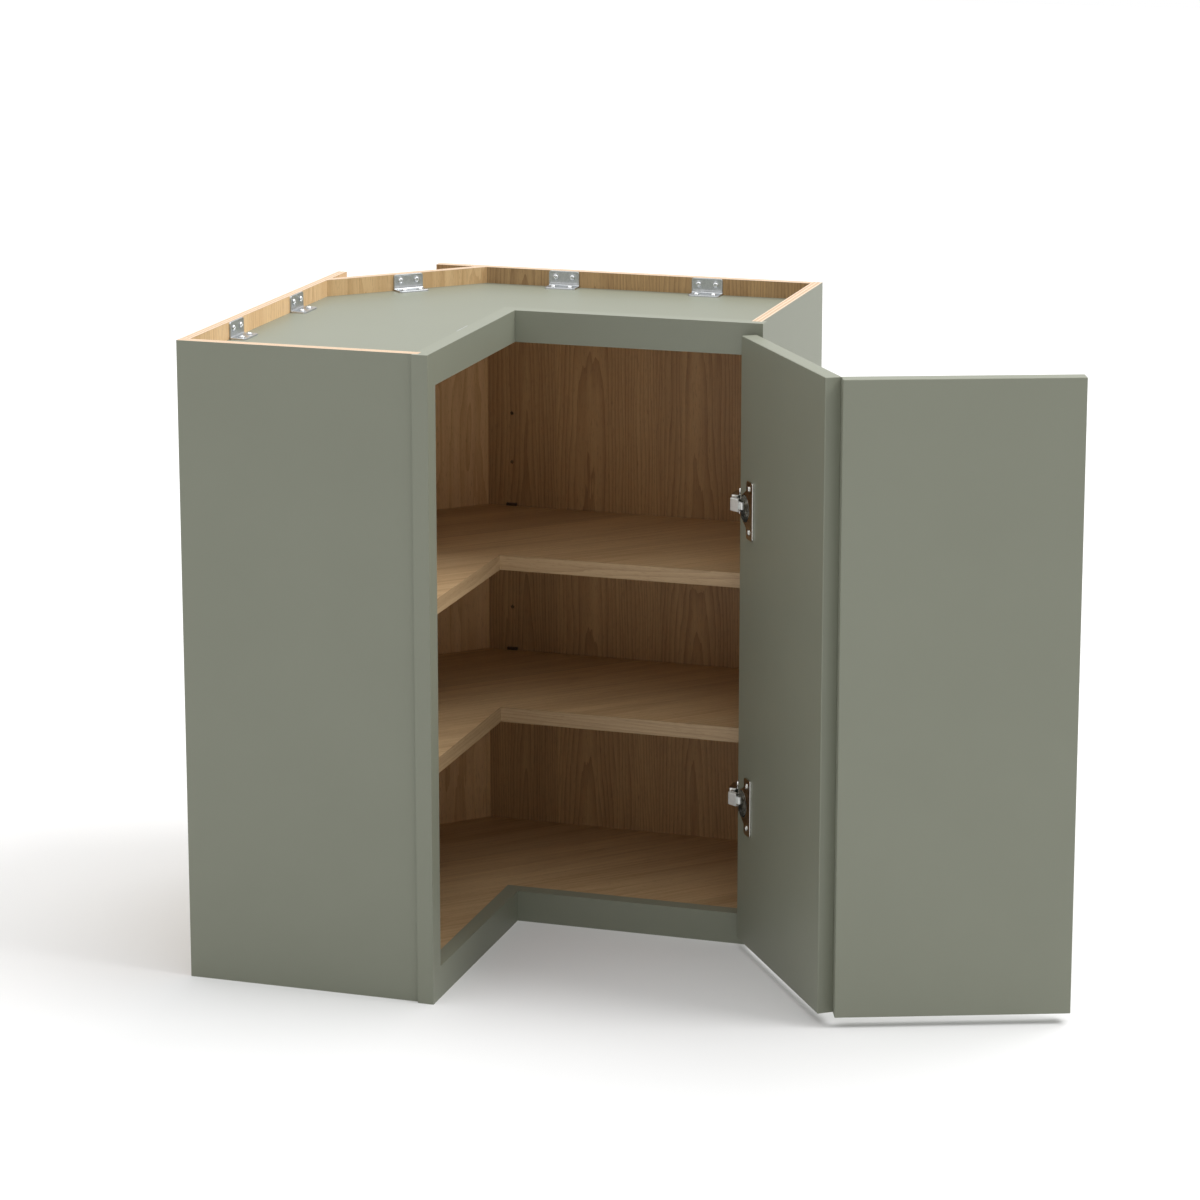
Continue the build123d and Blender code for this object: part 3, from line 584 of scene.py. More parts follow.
@dataclass(frozen=True)
class FacedBoard(Finish):
    """A veneered ply board whose chosen sides are lacquered, bare or left as a sawn edge.

    A side is found by the point's place: it lies on the side when it is within a hair of
    the board's lowest or highest coordinate on that axis.
    """

    veneer: AshVeneer = AshVeneer()
    lacquer: SageLacquer = SageLacquer()
    raw_veneer: AshVeneer = RAW_VENEER
    painted: tuple[Side, ...] = ()
    raw: tuple[Side, ...] = ()
    sawn: tuple[Side, ...] = ()
    through: str = "X"
    low: tuple[float, ...] = (0.0, 0.0, 0.0, 0.0)
    high: tuple[float, ...] = (1.0, 1.0, 1.0, 1.0)
    hair: float = 0.25 * MM

    def side_mask(self, tree: Tree, place: Any, sides: tuple[Side, ...]) -> Any:
        """Finds the points on some sides.

        Args:
            tree: the node tree.
            place: the point's place, in metres.
            sides: the sides.

        Returns:
            The socket of 1 on any of the sides, else 0.
        """
        found: Any = None
        for side in sides:
            axis, is_high = side.value
            index = "XYZD".index(axis)
            reach = board_reach(tree, place, axis)
            edge = self.high[index] - self.hair if is_high else self.low[index] + self.hair
            hit = add_node(tree, "Math", [reach, edge],
                           operation="GREATER_THAN" if is_high else "LESS_THAN")
            found = hit if found is None else add_node(tree, "Math", [found, hit], operation="MAXIMUM")
        return found

    def layers(self) -> list[tuple[tuple[Side, ...], Finish]]:
        """Sorts the sides by what they wear.

        Returns:
            The sides that aren't plain veneer, with what each of them wears.
        """
        index = "XYZD".index(self.through)
        edge = PlyEdge(through=self.through, low=self.low[index], high=self.high[index])
        found = [(self.raw, self.raw_veneer), (self.sawn, edge), (self.painted, self.lacquer)]
        return [(sides, finish) for sides, finish in found if sides]

    def figure(self, tree: Tree, place: Any) -> tuple[Any, Any]:
        """The veneer, covered on each other side by what that side wears.

        Args:
            tree: the node tree.
            place: the point's place, in metres.

        Returns:
            The colour's socket and the height's socket.
        """
        colour, height = self.veneer.figure(tree, place)
        for sides, finish in self.layers():
            mask = self.side_mask(tree, place, sides)
            cover, relief = finish.figure(tree, place)
            colour = add_node(tree, "Mix", {0: mask, 6: colour, 7: cover}, 2, data_type="RGBA")
            height = add_node(tree, "Mix", {0: mask, 2: height, 3: relief})
        return colour, height

    def sheen(self, tree: Tree, place: Any) -> Any:
        """The veneer's roughness, changed on each other side.

        Args:
            tree: the node tree.
            place: the point's place, in metres.

        Returns:
            The roughness, as a number or as a socket.
        """
        rough: Any = self.veneer.roughness
        for sides, finish in self.layers():
            rough = add_node(tree, "Mix", {0: self.side_mask(tree, place, sides), 2: rough,
                                           3: finish.roughness})
        return rough


# ---- surfaces
def grid_faces(rows: int, columns: int, wrap: bool = False) -> np.ndarray:
    """The four-sided faces of a grid of points.

    Face (i, j) joins point (i, j) to (i, j+1), (i+1, j+1) and (i+1, j), and a wrapped grid's
    last column is joined to its first.

    Args:
        rows: how many rows of points.
        columns: how many columns of points.
        wrap: whether the columns close into a ring.

    Returns:
        An array of point numbers, four to a face.
    """
    i, j = np.meshgrid(np.arange(rows - 1), np.arange(columns if wrap else columns - 1), indexing="ij")
    k = (j + 1) % columns
    row, after = i * columns, (i + 1) * columns
    return np.stack([row + j, row + k, after + k, after + j], -1).reshape(-1, 4)


def thick_sheet(front: np.ndarray, back: np.ndarray) -> Shell:
    """Joins two matching grids of points round their rims into one closed shell.

    Args:
        front: the outer face's points, (rows, columns, 3).
        back: the inner face's points, in the same order.

    Returns:
        Its points and its faces.
    """
    rows, columns = front.shape[:2]
    count = rows * columns
    sheet = grid_faces(rows, columns)
    index = np.arange(count).reshape(rows, columns)
    loop = np.concatenate([index[0, :-1], index[:-1, -1], index[-1, :0:-1], index[:0:-1, 0]])
    after = np.roll(loop, -1)
    wall = np.stack([loop, after, after + count, loop + count], -1)
    points = np.concatenate([front.reshape(-1, 3), back.reshape(-1, 3)])
    return points, [np.concatenate([sheet, sheet[:, ::-1] + count, wall])]


def capped_rings(rings: np.ndarray, low: float, high: float) -> Shell:
    """Joins rings of points one above the other and closes both ends with a fan.

    Args:
        rings: the rings' points from the lowest to the highest, (rings, columns, 3).
        low: the third coordinate of the lower fan's middle.
        high: the third coordinate of the upper fan's middle.

    Returns:
        Its points and its faces.
    """
    count, columns = rings.shape[:2]
    poles = np.stack([rings[0].mean(axis=0), rings[-1].mean(axis=0)])
    poles[:, 2] = low, high
    step = np.arange(columns)
    after = (step + 1) % columns
    last = (count - 1) * columns
    tip = np.stack([after, step, np.full(columns, count * columns)], -1)
    top = np.stack([last + step, last + after, np.full(columns, count * columns + 1)], -1)
    points = np.concatenate([rings.reshape(-1, 3), poles])
    return points, [grid_faces(count, columns, wrap=True), np.concatenate([tip, top])]


def copies(points: np.ndarray, faces: list[np.ndarray], centres: np.ndarray,
           turns: np.ndarray) -> Shell:
    """Sets copies of one shape about the object.

    Point p of copy c lands on centre c + turn c times p.

    Args:
        points: the shape's points, (P, 3).
        faces: its faces, one array for each number of corners.
        centres: the copies' places, (C, 3).
        turns: their 3 x 3 turns, (C, 3, 3).

    Returns:
        All points and all faces.
    """
    placed = np.einsum("cij,pj->cpi", turns, points) + centres[:, None, :]
    shift = np.arange(len(centres)) * len(points)
    spread = [(part[None, :, :] + shift[:, None, None]).reshape(-1, part.shape[1]) for part in faces]
    return placed.reshape(-1, 3), spread


def make_piece(name: str, points: np.ndarray, faces: list[np.ndarray], material: bpy.types.Material,
               crease: float) -> bpy.types.Object:
    """Turns points and faces into a piece with outward faces and soft shading.

    Args:
        name: the piece's name.
        points: its points, (N, 3), in metres.
        faces: its faces, one array for each number of corners.
        material: what it wears.
        crease: the angle in degrees past which an edge shows as a crease.

    Returns:
        The piece.
    """
    mesh = bpy.data.meshes.new(name)
    mesh.from_pydata(points.tolist(), [], [face for part in faces for face in part.tolist()])
    shape = bmesh.new()
    shape.from_mesh(mesh)
    bmesh.ops.recalc_face_normals(shape, faces=shape.faces)
    shape.to_mesh(mesh)
    shape.free()
    mesh.shade_smooth()
    mesh.set_sharp_from_angle(angle=math.radians(crease))
    mesh.materials.append(material)
    piece = bpy.data.objects.new(name, mesh)
    bpy.context.collection.objects.link(piece)
    return piece


# ---- sub-assemblies
@dataclass
class Dresser:
    """Gives finishes to the nodes of the frame."""

    nodes: dict[str, bpy.types.Object]

    def wear(self, material: bpy.types.Material, *names: str) -> None:
        """Puts one material on every slot of the named nodes.

        Args:
            material: the material.
            names: the nodes.
        """
        for name in names:
            mesh = self.nodes[name].data
            if not mesh.materials:
                mesh.materials.append(material)
            for index in range(len(mesh.materials)):
                mesh.materials[index] = material
            LOG.info("dressed %s in %s", name, material.name)


@dataclass
class Carcass:
    """The fixed box: ends, backs, top, bottom and the face frame."""

    dresser: Dresser
    lacquer: SageLacquer = SageLacquer()
    diagonal_reach: float = 180.4 * MM
    back_thickness: float = 11.8 * MM

    def board(self, node: str, **sides: Any) -> None:
        """Dresses one board.

        Args:
            node: the board.
            sides: its veneer, its painted, raw and sawn sides, and the axis through it.
        """
        low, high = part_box(node)
        behind = self.diagonal_reach - math.sqrt(2) * self.back_thickness
        finish = FacedBoard(low=(*low, behind), high=(*high, self.diagonal_reach), **sides)
        self.dresser.wear(finish.material("ash_ply_" + node), node)

    def build(self) -> None:
        """Dresses every fixed board."""
        paint = self.lacquer.material("sage_lacquer")
        self.dresser.wear(paint, "stile_left", "stile_right", "top_rail_left", "top_rail_rear",
                          "bottom_rail_left", "bottom_rail_rear")
        # The backs' and ends' veneers are one ash in three tones of painted light and painted shade,
        # darker on the boards that stand in shade.
        self.board("end_panel_right", veneer=HALF_SHADED_VENEER, painted=(Side.EAST,),
                   sawn=(Side.TOP, Side.UNDER, Side.NORTH), through="X")
        self.board("end_panel_left", veneer=SHADE_DARKENED_VENEER, painted=(Side.SOUTH,),
                   sawn=(Side.TOP, Side.UNDER, Side.WEST), through="Y")
        self.board("back_panel_rear", veneer=SHADE_DARKENED_VENEER, raw=(Side.NORTH,),
                   sawn=(Side.TOP, Side.UNDER, Side.WEST, Side.EAST), through="Y")
        self.board("back_panel_left", veneer=LIGHT_PALED_VENEER, raw=(Side.WEST,),
                   sawn=(Side.TOP, Side.UNDER, Side.NORTH, Side.SOUTH), through="X")
        self.board("back_panel_diagonal", veneer=HALF_SHADED_VENEER, raw=(Side.CORNERWARD,),
                   sawn=(Side.TOP, Side.UNDER), through="D")
        # The top panel's lacquer is the same sage painted a little darker: painted shade, which also
        # marks the seam against the rails' tops.
        self.board("top_panel", veneer=LEVEL_VENEER, painted=(Side.TOP,), through="Z",
                   lacquer=SageLacquer(colour="#868979", shade="#828575"))
        self.board("bottom_panel", veneer=LEVEL_VENEER, raw=(Side.UNDER,), through="Z")


@dataclass
class Shelves:
    """Two lift-out shelves with their front strips and clips."""

    dresser: Dresser
    nylon: MouldedNylon = MouldedNylon()

    def build(self) -> None:
        """Dresses the shelves, their strips and their clips."""
        self.dresser.wear(LEVEL_VENEER.material("ash_veneer_shelf"), "shelf_upper", "shelf_lower")
        self.dresser.wear(STRIP_VENEER.material("ash_strip"), "shelf_upper_edging",
                          "shelf_lower_edging")
        self.dresser.wear(self.nylon.material("brown_nylon"), "shelf_clips_upper", "shelf_clips_lower")


@dataclass
class CornerBrackets:
    """Six pressed angle brackets in the top recess, each with four pan-head screws.

    A spot is a bracket's corner on the wall and the plan direction that it faces. Spins are
    the first screw's turn and what each next one adds, in degrees.
    """

    zinc: PlatedSteel = PlatedSteel(colour="#CDD0D2", roughness=0.34, drift=0.2,
                                    shade_factor=0.5, patch=2 * MM)
    screw_zinc: PlatedSteel = PlatedSteel(colour="#DADCDD", roughness=0.24, drift=0.08, patch=2 * MM)
    spots: tuple[tuple[float, float, float, float], ...] = (
        (0.272, -0.0118, 0.0, -1.0), (0.460, -0.0118, 0.0, -1.0),
        (0.0118, -0.272, 1.0, 0.0), (0.0118, -0.460, 1.0, 0.0),
        (0.0902, -0.0902, math.sqrt(0.5), -math.sqrt(0.5)), (0.28575, -0.434, -1.0, 0.0))
    floor_level: float = 741.4 * MM
    length: float = 40 * MM
    leg: float = 20.35 * MM
    thickness: float = 2 * MM
    bend: float = 1.3 * MM
    corner: float = 3 * MM
    soft_edge: float = 0.45 * MM
    border: float = 1.5 * MM
    dent: float = 0.35 * MM
    dent_slope: float = 0.6 * MM
    bend_margin: float = 1 * MM
    seat_radius: float = 4.6 * MM
    groove_radius: float = 3.9 * MM
    groove_width: float = 0.4 * MM
    groove_depth: float = 0.35 * MM
    end_crowding: float = 0.45
    hole_spacing: float = 22 * MM
    hole_height: float = 12.5 * MM
    rows: int = 67
    columns: int = 81
    head_radius: float = 3.4 * MM
    head_height: float = 1.6 * MM
    shank_radius: float = 1.7 * MM
    shank_length: float = 9 * MM
    cross_width: float = 1.0 * MM
    cross_length: float = 4.0 * MM
    cross_depth: float = 1.0 * MM
    cross_softness: float = 0.22 * MM
    head_rim: float = 0.12 * MM
    seat_inset: float = 0.102 * MM
    neck: float = 0.05 * MM
    tip_length: float = 1.8 * MM
    tip_share: float = 0.35
    point: float = 0.4 * MM
    spins: tuple[float, float] = (23.0, 61.0)

    def frames(self) -> tuple[np.ndarray, np.ndarray]:
        """Works out where the brackets stand.

        Returns:
            Each bracket's corner, and its turn from along, up and out to the row's axes.
        """
        spots = np.array(self.spots)
        corners = np.column_stack([spots[:, :2], np.full(len(spots), self.floor_level)])
        out = np.column_stack([spots[:, 2:], np.zeros(len(spots))])
        up = np.broadcast_to([0.0, 0.0, 1.0], out.shape)
        return corners, np.stack([np.cross(up, out), up, out], axis=-1)

    def plate(self) -> Shell:
        """One bracket in its own along, up and out axes.

        Its face is the point at distance s down the upright leg, round a quarter circle of
        the bend radius and out along the level leg, at v times the half length across. The
        half length shrinks by a quarter circle at the two free ends. A height along the
        normal adds a rounded rim, a field pressed in behind a border, and a groove round
        each screw. The back is the same points one thickness behind.

        Returns:
            Its points, and its faces as a closed shell.
        """
        straight = self.leg - self.thickness - self.bend
        total = 2 * straight + self.bend * math.pi / 2
        crowded = total * (0.5 - 0.5 * np.cos(np.linspace(0, np.pi, self.rows)))
        even = np.linspace(0, total, self.rows)
        s = self.end_crowding * crowded + (1 - self.end_crowding) * even
        t = np.linspace(-1, 1, self.columns)
        v = 0.5 * np.sin(t * np.pi / 2) + 0.5 * t
        bend_angle = np.clip((s - straight) / self.bend, 0, np.pi / 2)
        centre = self.thickness + self.bend
        up = centre - self.bend * np.sin(bend_angle) + np.clip(straight - s, 0, None)
        out = centre - self.bend * np.cos(bend_angle) + np.clip(s - total + straight, 0, None)
        normal_up, normal_out = np.sin(bend_angle), np.cos(bend_angle)
        to_end = np.minimum(s, total - s)
        cut = np.clip(self.corner - to_end, 0, None)
        half = self.length / 2 - self.corner + np.sqrt(self.corner ** 2 - cut ** 2)
        along = v[None, :] * half[:, None]
        to_rim = np.minimum(to_end[:, None], half[:, None] - np.abs(along))
        near = np.clip(self.soft_edge - to_rim, 0, None)
        rim = self.soft_edge - np.sqrt(self.soft_edge ** 2 - near ** 2)
        to_bend = np.abs(s - total / 2)[:, None] - self.bend_margin
        inward = np.clip((np.minimum(to_rim, to_bend) - self.border) / self.dent_slope, 0, 1)
        height = -rim - self.dent * inward ** 2 * (3 - 2 * inward)
        for place in (self.leg - self.hole_height, total - self.leg + self.hole_height):
            for side in (-1, 1):
                gap = np.hypot(s[:, None] - place, along - side * self.hole_spacing / 2)
                seat = (gap < self.seat_radius) & (height < -0.9 * self.dent)
                off_groove = (gap - self.groove_radius) / self.groove_width
                height = height + self.dent * seat
                height = height - self.groove_depth * np.exp(-off_groove ** 2)
        front, back = (np.stack([along, up[:, None] + normal_up[:, None] * lift,
                                 out[:, None] + normal_out[:, None] * lift], -1)
                       for lift in (height, np.full(along.shape, -self.thickness)))
        return thick_sheet(front, back)

    def screw(self) -> Shell:
        """One pan-head screw about its own third axis, with its seat at zero.

        It is a profile of radius and height turned about the axis: a tapered tip, the
        shank, the seat and a dome whose height is that of the head times the fourth root
        of 1 - (r / R)^4. A cross of two rounded slots is pressed into the dome.

        Returns:
            Its points and its faces, closed at both poles.
        """
        columns, head_rings = 40, 16
        head = self.head_radius * np.linspace(1, 0, head_rings + 1)[:-1] ** 0.9
        dome = self.head_height * (1 - (head / self.head_radius) ** 4) ** 0.5
        shaft = np.array([
            [self.tip_share * self.shank_radius, -self.shank_length],
            [self.shank_radius, self.tip_length - self.shank_length],
            [self.shank_radius, -self.neck],
            [self.head_radius - self.seat_inset, 0.0]])
        radius = np.concatenate([shaft[:, 0], head])
        level = np.concatenate([shaft[:, 1], self.head_rim + dome])
        angle = np.linspace(0, 2 * np.pi, columns, endpoint=False)
        x = radius[:, None] * np.cos(angle)
        y = radius[:, None] * np.sin(angle)
        on_head = (np.arange(len(radius)) >= len(shaft))[:, None]
        cross = on_head * np.maximum(self.slot(x, y), self.slot(y, x))
        rings = np.stack([x, y, level[:, None] - self.cross_depth * cross], -1)
        return capped_rings(rings, -self.shank_length - self.point,
                            self.head_height + self.head_rim - self.cross_depth)

    def slot(self, along: np.ndarray, across: np.ndarray) -> np.ndarray:
        """How far inside one slot of the cross a point is.

        Args:
            along: its distance from the head's middle along the slot.
            across: its distance across the slot.

        Returns:
            0 outside, 1 on the slot's floor, and between them on its soft walls.
        """
        soft = self.cross_softness
        inside = np.clip((self.cross_length / 2 - np.abs(along)) / (3 * soft), 0, 1)
        return inside * np.clip((self.cross_width / 2 + soft / 2 - np.abs(across)) / soft, 0, 1)

    def build(self) -> None:
        """Makes the brackets and their screws, which stand for the frame's plain ones."""
        corners, turns = self.frames()
        points, faces = copies(*self.plate(), corners, turns)
        pressing = self.zinc.material("zinc_plated_pressing")
        brackets = make_piece("pressed_brackets", points, faces, pressing, crease=50)
        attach(brackets, "cabinet")
        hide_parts("top_brackets")
        seats = ((self.hole_height, self.thickness), (self.thickness, self.hole_height))
        first_spin, next_spin = self.spins
        places, screw_turns = [], []
        for corner, turn in zip(corners, turns):
            along, up, out = turn.T
            for side in (-1, 1):
                for seat_up, seat_out in seats:
                    axis = out if seat_out == self.thickness else up
                    spin = math.radians(first_spin + next_spin * len(places))
                    first = math.cos(spin) * along + math.sin(spin) * np.cross(axis, along)
                    aside = side * self.hole_spacing / 2 * along
                    places.append(corner + aside + seat_up * up + seat_out * out)
                    screw_turns.append(np.stack([first, np.cross(axis, first), axis], -1))
        points, faces = copies(*self.screw(), np.array(places), np.array(screw_turns))
        plating = self.screw_zinc.material("zinc_plated_screw")
        screws = make_piece("bracket_pan_screws", points, faces, plating, crease=35)
        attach(screws, "cabinet")
        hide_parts("top_bracket_screws")
        LOG.info("made %d brackets with %d screws", len(corners), len(places))


@dataclass
class PressedLinks:
    """The links of the two wide-angle hinges: folded channels, each with a tongue.

    A link's own axes are u along it from the arm pin, w across it away from its web and z
    along the pins. The channel ends on a circle about the cup pin that is wider than the
    corners of the cup's ears, so it swings clear of them, and only the tongue goes between.
    """

    satin: PlatedSteel = PlatedSteel(colour="#ECEEEC", roughness=0.62, drift=0.06, patch=6 * MM)
    arm_radius: float = 3.5 * MM
    cup_radius: float = 2 * MM
    start: float = -1.9 * MM
    back: float = 1.9 * MM
    edge_runs: tuple[float, ...] = (0, 5.8 * MM, 8.4 * MM, 10.7 * MM)
    edge_rises: tuple[float, ...] = (3.5 * MM, 1.9 * MM, 1.9 * MM, -1.3 * MM)
    half_height: float = 7.9 * MM
    sheet: float = 0.9 * MM
    fold: float = 1.3 * MM
    ear_clearance: float = 4.1 * MM
    tongue_start: float = 7.5 * MM
    tongue_half_height: float = 4.5 * MM
    soft_edge: float = 0.3 * MM
    spine_inset: float = 1 * MM
    weld: float = 0.05 * MM
    nose_columns: int = 33
    rim_rings: int = 7
    rows: int = 49
    columns: int = 97
    arm_pin: np.ndarray = field(init=False)
    cup_pin: np.ndarray = field(init=False)
    length: float = field(init=False)

    def __post_init__(self) -> None:
        """Finds both pins in the frame, and from them the link's length."""
        self.arm_pin = self.middle("hinge_arm_pins")
        self.cup_pin = self.middle("hinge_cup_pins")
        self.length = float(np.linalg.norm((self.cup_pin - self.arm_pin)[:2]))

    def middle(self, node: str) -> np.ndarray:
        """The middle of a node of the frame, in metres."""
        return np.array(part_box(node)).mean(axis=0)

    def channel_face(self, depth: float) -> np.ndarray:
        """The channel's outer face, or the face a depth behind it.

        Its section runs up one cheek, round a quarter circle, down the web, round again and
        along the other cheek. The web follows a circle about the arm pin before it, and the
        cheeks' free edges run from that circle down to the back and then slant towards the
        web, so they stay off the leaf when it is wide open. Near every rim the face draws in
        by a quarter circle of the soft edge.

        Args:
            depth: 0 for the outer face, 1 for the inner one.

        Returns:
            Its points, (rows, columns, 3).
        """
        share = 0.5 - 0.5 * np.cos(np.linspace(0, np.pi, self.rows))
        run = self.start + share * (self.length - self.ear_clearance - self.start)
        web = -np.sqrt(self.arm_radius ** 2 - np.clip(-run, 0, None) ** 2)
        free = np.where(run < 0, -web, np.interp(run, self.edge_runs, self.edge_rises))
        part = np.linspace(-3, 3, self.columns)
        turned = np.clip(np.abs(part) - 1, 0, 1) * np.pi / 2
        climb = np.clip(np.abs(part) - 2, 0, 1)
        climb = climb * (2 - climb)
        w = web[:, None] + self.fold * (1 - np.cos(turned)) + climb * (free - web - self.fold)[:, None]
        z = np.clip(np.abs(part), 0, 1) * (self.half_height - self.fold) + self.fold * np.sin(turned)
        to_side = np.where(climb > 0, (1 - climb) * (free - web)[:, None], self.half_height)
        to_end = np.minimum(run - self.start, run[-1] - run)[:, None]
        gap = np.clip(self.soft_edge - np.minimum(to_side, to_end), 0, None)
        rim = self.soft_edge - np.sqrt(self.soft_edge ** 2 - gap ** 2)
        inset_w = rim + depth * ((self.sheet - self.arm_radius - web)[:, None] - 2 * rim)
        inset_z = rim + depth * (self.sheet - 2 * rim)
        w = w + inset_w * np.cos(turned)
        z = np.sign(part) * (z - inset_z * np.sin(turned))
        off_axis = np.minimum(np.abs(w), self.arm_radius)
        end = self.length - np.sqrt(self.ear_clearance ** 2 - off_axis ** 2)
        u = self.start + share[:, None] * (end - self.start)
        return np.stack([u, w, z], -1)

    def tongue(self) -> Shell:
        """The tongue: a plan outline with a round end about the cup pin, raised along z.

        Its rings draw in towards the outline's middle line by a quarter circle of the soft
        edge at both ends.

        Returns:
            Its points, and its faces as a closed shell.
        """
        inner = self.sheet - self.arm_radius - self.weld
        neck = self.length - self.ear_clearance
        angle = np.linspace(-np.pi / 2, np.pi / 2, self.nose_columns)
        nose = self.cup_radius * np.stack([np.cos(angle), np.sin(angle)], -1) + [self.length, 0]
        outline = np.concatenate([[[self.tongue_start, inner], [neck, inner]], nose,
                                  [[neck, self.back], [self.tongue_start, self.back]]])
        middle = np.clip(outline[:, 0], self.tongue_start + self.spine_inset, self.length)
        spine = np.stack([middle, np.zeros(len(outline))], -1)
        spoke = outline - spine
        reach = np.linalg.norm(spoke, axis=1)
        bend = np.linspace(0, np.pi / 2, self.rim_rings)
        inset = self.soft_edge * (1 - np.sin(np.concatenate([bend, bend[::-1]])))
        level = self.tongue_half_height - self.soft_edge + self.soft_edge * np.cos(bend)
        level = np.concatenate([-level, level[::-1]])
        plan = spine + spoke * (1 - inset[:, None, None] / reach[:, None])
        height = np.broadcast_to(level[:, None, None], (*plan.shape[:2], 1))
        rings = np.concatenate([plan, height], -1)
        return capped_rings(rings, -self.tongue_half_height, self.tongue_half_height)

    def build(self) -> None:
        """Makes both links, which stand for the frame's plain ones."""
        levels = [self.middle(node)[2] for node in ("hinge_link_lower", "hinge_link_upper")]
        centres = np.array([(*self.arm_pin[:2], level) for level in levels])
        along = np.append((self.cup_pin - self.arm_pin)[:2] / self.length, 0)
        turns = np.stack([np.stack([along, [-along[1], along[0], 0], [0, 0, 1]], -1)] * len(centres))
        channel = thick_sheet(self.channel_face(0), self.channel_face(1))
        sheet_points, sheet_faces = copies(*channel, centres, turns)
        tongue_points, tongue_faces = copies(*self.tongue(), centres, turns)
        points = np.concatenate([sheet_points, tongue_points])
        faces = sheet_faces + [part + len(sheet_points) for part in tongue_faces]
        satin = self.satin.material("satin_nickel")
        links = make_piece("pressed_hinge_links", points, faces, satin, crease=50)
        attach(links, "hinge_links")
        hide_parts("hinge_link_upper", "hinge_link_lower")
        LOG.info("made %d hinge links", len(centres))


@dataclass
class Hinges:
    """Two wide-angle hinges and the fold hinges between the leaves."""

    dresser: Dresser
    nickel: PlatedSteel = PlatedSteel()

    def build(self) -> None:
        """Dresses the hinges."""
        self.dresser.wear(self.nickel.material("nickel_plate"), "hinge_arm_upper", "hinge_arm_lower",
                          "hinge_arm_pins", "hinge_arm_screws", "hinge_cup_upper", "hinge_cup_lower",
                          "hinge_cup_pins", "hinge_cup_screws", "fold_hinge_plates_right",
                          "fold_hinge_plates_left", "fold_hinge_pins", "fold_hinge_screws_right",
                          "fold_hinge_screws_left")


@dataclass
class Doors:
    """The folding pair of slab leaves."""

    dresser: Dresser
    lacquer: SageLacquer = SageLacquer()

    def build(self) -> None:
        """Dresses both leaves."""
        self.dresser.wear(self.lacquer.material("sage_lacquer_doors"), "door_leaf_right",
                          "door_leaf_left")


@dataclass(frozen=True)
class Lamp:
    """One soft lamp, far enough away to light every piece alike."""

    name: str
    direction: tuple[float, float, float]
    strength: float
    spread: float

    def hang(self) -> None:
        """Puts the lamp into the scene."""
        sun = bpy.data.lights.new(self.name, "SUN")
        sun.energy = self.strength
        sun.angle = math.radians(self.spread)
        carrier = bpy.data.objects.new(self.name, sun)
        carrier.rotation_euler = Vector(self.direction).to_track_quat("Z", "Y").to_euler()
        bpy.context.collection.objects.link(carrier)


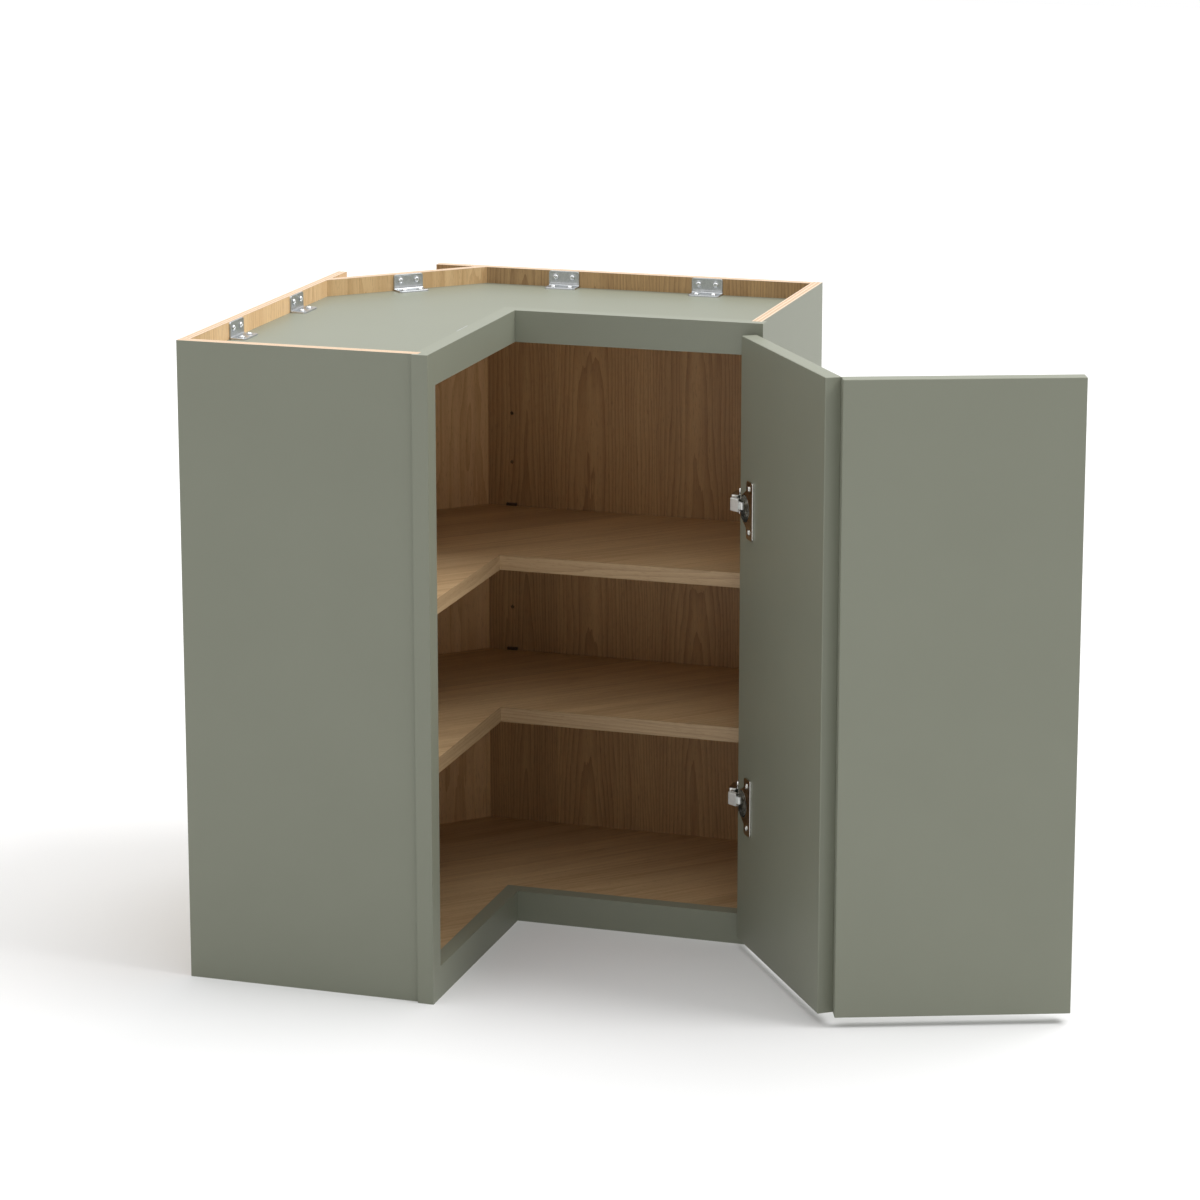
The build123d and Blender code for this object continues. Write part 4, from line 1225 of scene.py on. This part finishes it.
@dataclass
class Studio:
    """A pale floor, an even sky, three soft lamps and the camera.

    The camera's place and lens come from the edges measured in the photograph, and the
    lamps' directions from its shadows: one long to the left, one short to the front.
    """

    sky: float = 0.33
    lamps: tuple[Lamp, ...] = (
        Lamp("side_lamp", (0.62, 0.09, 0.78), 1.41, 26.0),
        Lamp("back_lamp", (0.25, 0.45, 0.86), 0.94, 36.0),
        Lamp("overhead_lamp", (0.0, -0.12, 1.0), 1.65, 100.0),
    )
    floor_grey: float = 0.57
    seen_floor_grey: float = 0.79
    floor_lift: float = 0.07
    camera_place: tuple[float, float, float] = (1.6942, -4.4092, 1.5209)
    azimuth: float = math.radians(17.364)
    elevation: float = math.radians(11.956)
    focal_pixels: float = 3699.4
    frame_pixels: float = 1200.0
    shift_up: float = -0.1327
    floor_half: float = 12.0

    def looks(self, tree: Tree) -> Any:
        """Finds the rays that see a surface, rather than light another by it.

        Args:
            tree: the node tree.

        Returns:
            The socket of 1 for the camera, mirrors and glass, else 0.
        """
        found = [add_node(tree, "LightPath", out=name)
                 for name in ("Is Camera Ray", "Is Glossy Ray", "Is Transmission Ray")]
        direct = add_node(tree, "Math", found[:2], operation="MAXIMUM")
        return add_node(tree, "Math", [direct, found[2]], operation="MAXIMUM")

    def floor(self) -> None:
        """A wide pale floor that keeps the soft shadow.

        Seen straight or in a mirror it is paler than the grey that it lights the object
        with, and glows a little, so that it shows white without more light on the object.
        """
        half = self.floor_half
        corners = [(-half, -half, 0), (half, -half, 0), (half, half, 0), (-half, half, 0)]
        mesh = bpy.data.meshes.new("floor")
        mesh.from_pydata(corners, [], [(0, 1, 2, 3)])
        floor = bpy.data.objects.new("floor", mesh)
        bpy.context.collection.objects.link(floor)
        material = bpy.data.materials.new("pale_floor")
        tree = bare_tree(material)
        plain = add_node(tree, "BsdfDiffuse", [(*(self.floor_grey,) * 3, 1)])
        pale = add_node(tree, "BsdfDiffuse", [(*(self.seen_floor_grey,) * 3, 1)])
        glow = add_node(tree, "Emission", [(1, 1, 1, 1), self.floor_lift])
        seen = add_node(tree, "AddShader", [pale, glow])
        add_node(tree, "OutputMaterial", [add_node(tree, "MixShader", [self.looks(tree), plain, seen])])
        mesh.materials.append(material)

    def world(self) -> None:
        """An even sky, white where it is seen."""
        world = bpy.data.worlds.new("studio_sky")
        bpy.context.scene.world = world
        tree = bare_tree(world)
        soft = add_node(tree, "Background", [(1, 1, 1, 1), self.sky])
        white = add_node(tree, "Background", [(1, 1, 1, 1), 1.0])
        add_node(tree, "OutputWorld", [add_node(tree, "MixShader", [self.looks(tree), soft, white])])

    def camera(self) -> None:
        """The camera at the photograph's viewing angle."""
        data = bpy.data.cameras.new("camera")
        data.sensor_width = 36.0
        data.lens = self.focal_pixels / self.frame_pixels * data.sensor_width
        data.shift_y = self.shift_up
        data.clip_end = 100.0
        carrier = bpy.data.objects.new("camera", data)
        look = Vector((-math.sin(self.azimuth) * math.cos(self.elevation),
                       math.cos(self.azimuth) * math.cos(self.elevation), -math.sin(self.elevation)))
        carrier.rotation_euler = look.to_track_quat("-Z", "Y").to_euler()
        carrier.location = self.camera_place
        bpy.context.collection.objects.link(carrier)
        bpy.context.scene.camera = carrier

    def build(self) -> None:
        """Builds the floor, sky, lamps and camera."""
        self.floor()
        self.world()
        for lamp in self.lamps:
            lamp.hang()
        self.camera()
        bpy.context.scene.view_settings.view_transform = "Standard"


def main() -> None:
    """Loads the frame, dresses it, adds the detailed pieces and lights it."""
    logging.basicConfig(level=logging.INFO, format="%(name)s: %(message)s")
    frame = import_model()
    dresser = Dresser(frame["nodes"])
    Carcass(dresser).build()
    Shelves(dresser).build()
    Doors(dresser).build()
    Hinges(dresser).build()
    PressedLinks().build()
    CornerBrackets().build()
    Studio().build()


if __name__ == "__main__":
    main()
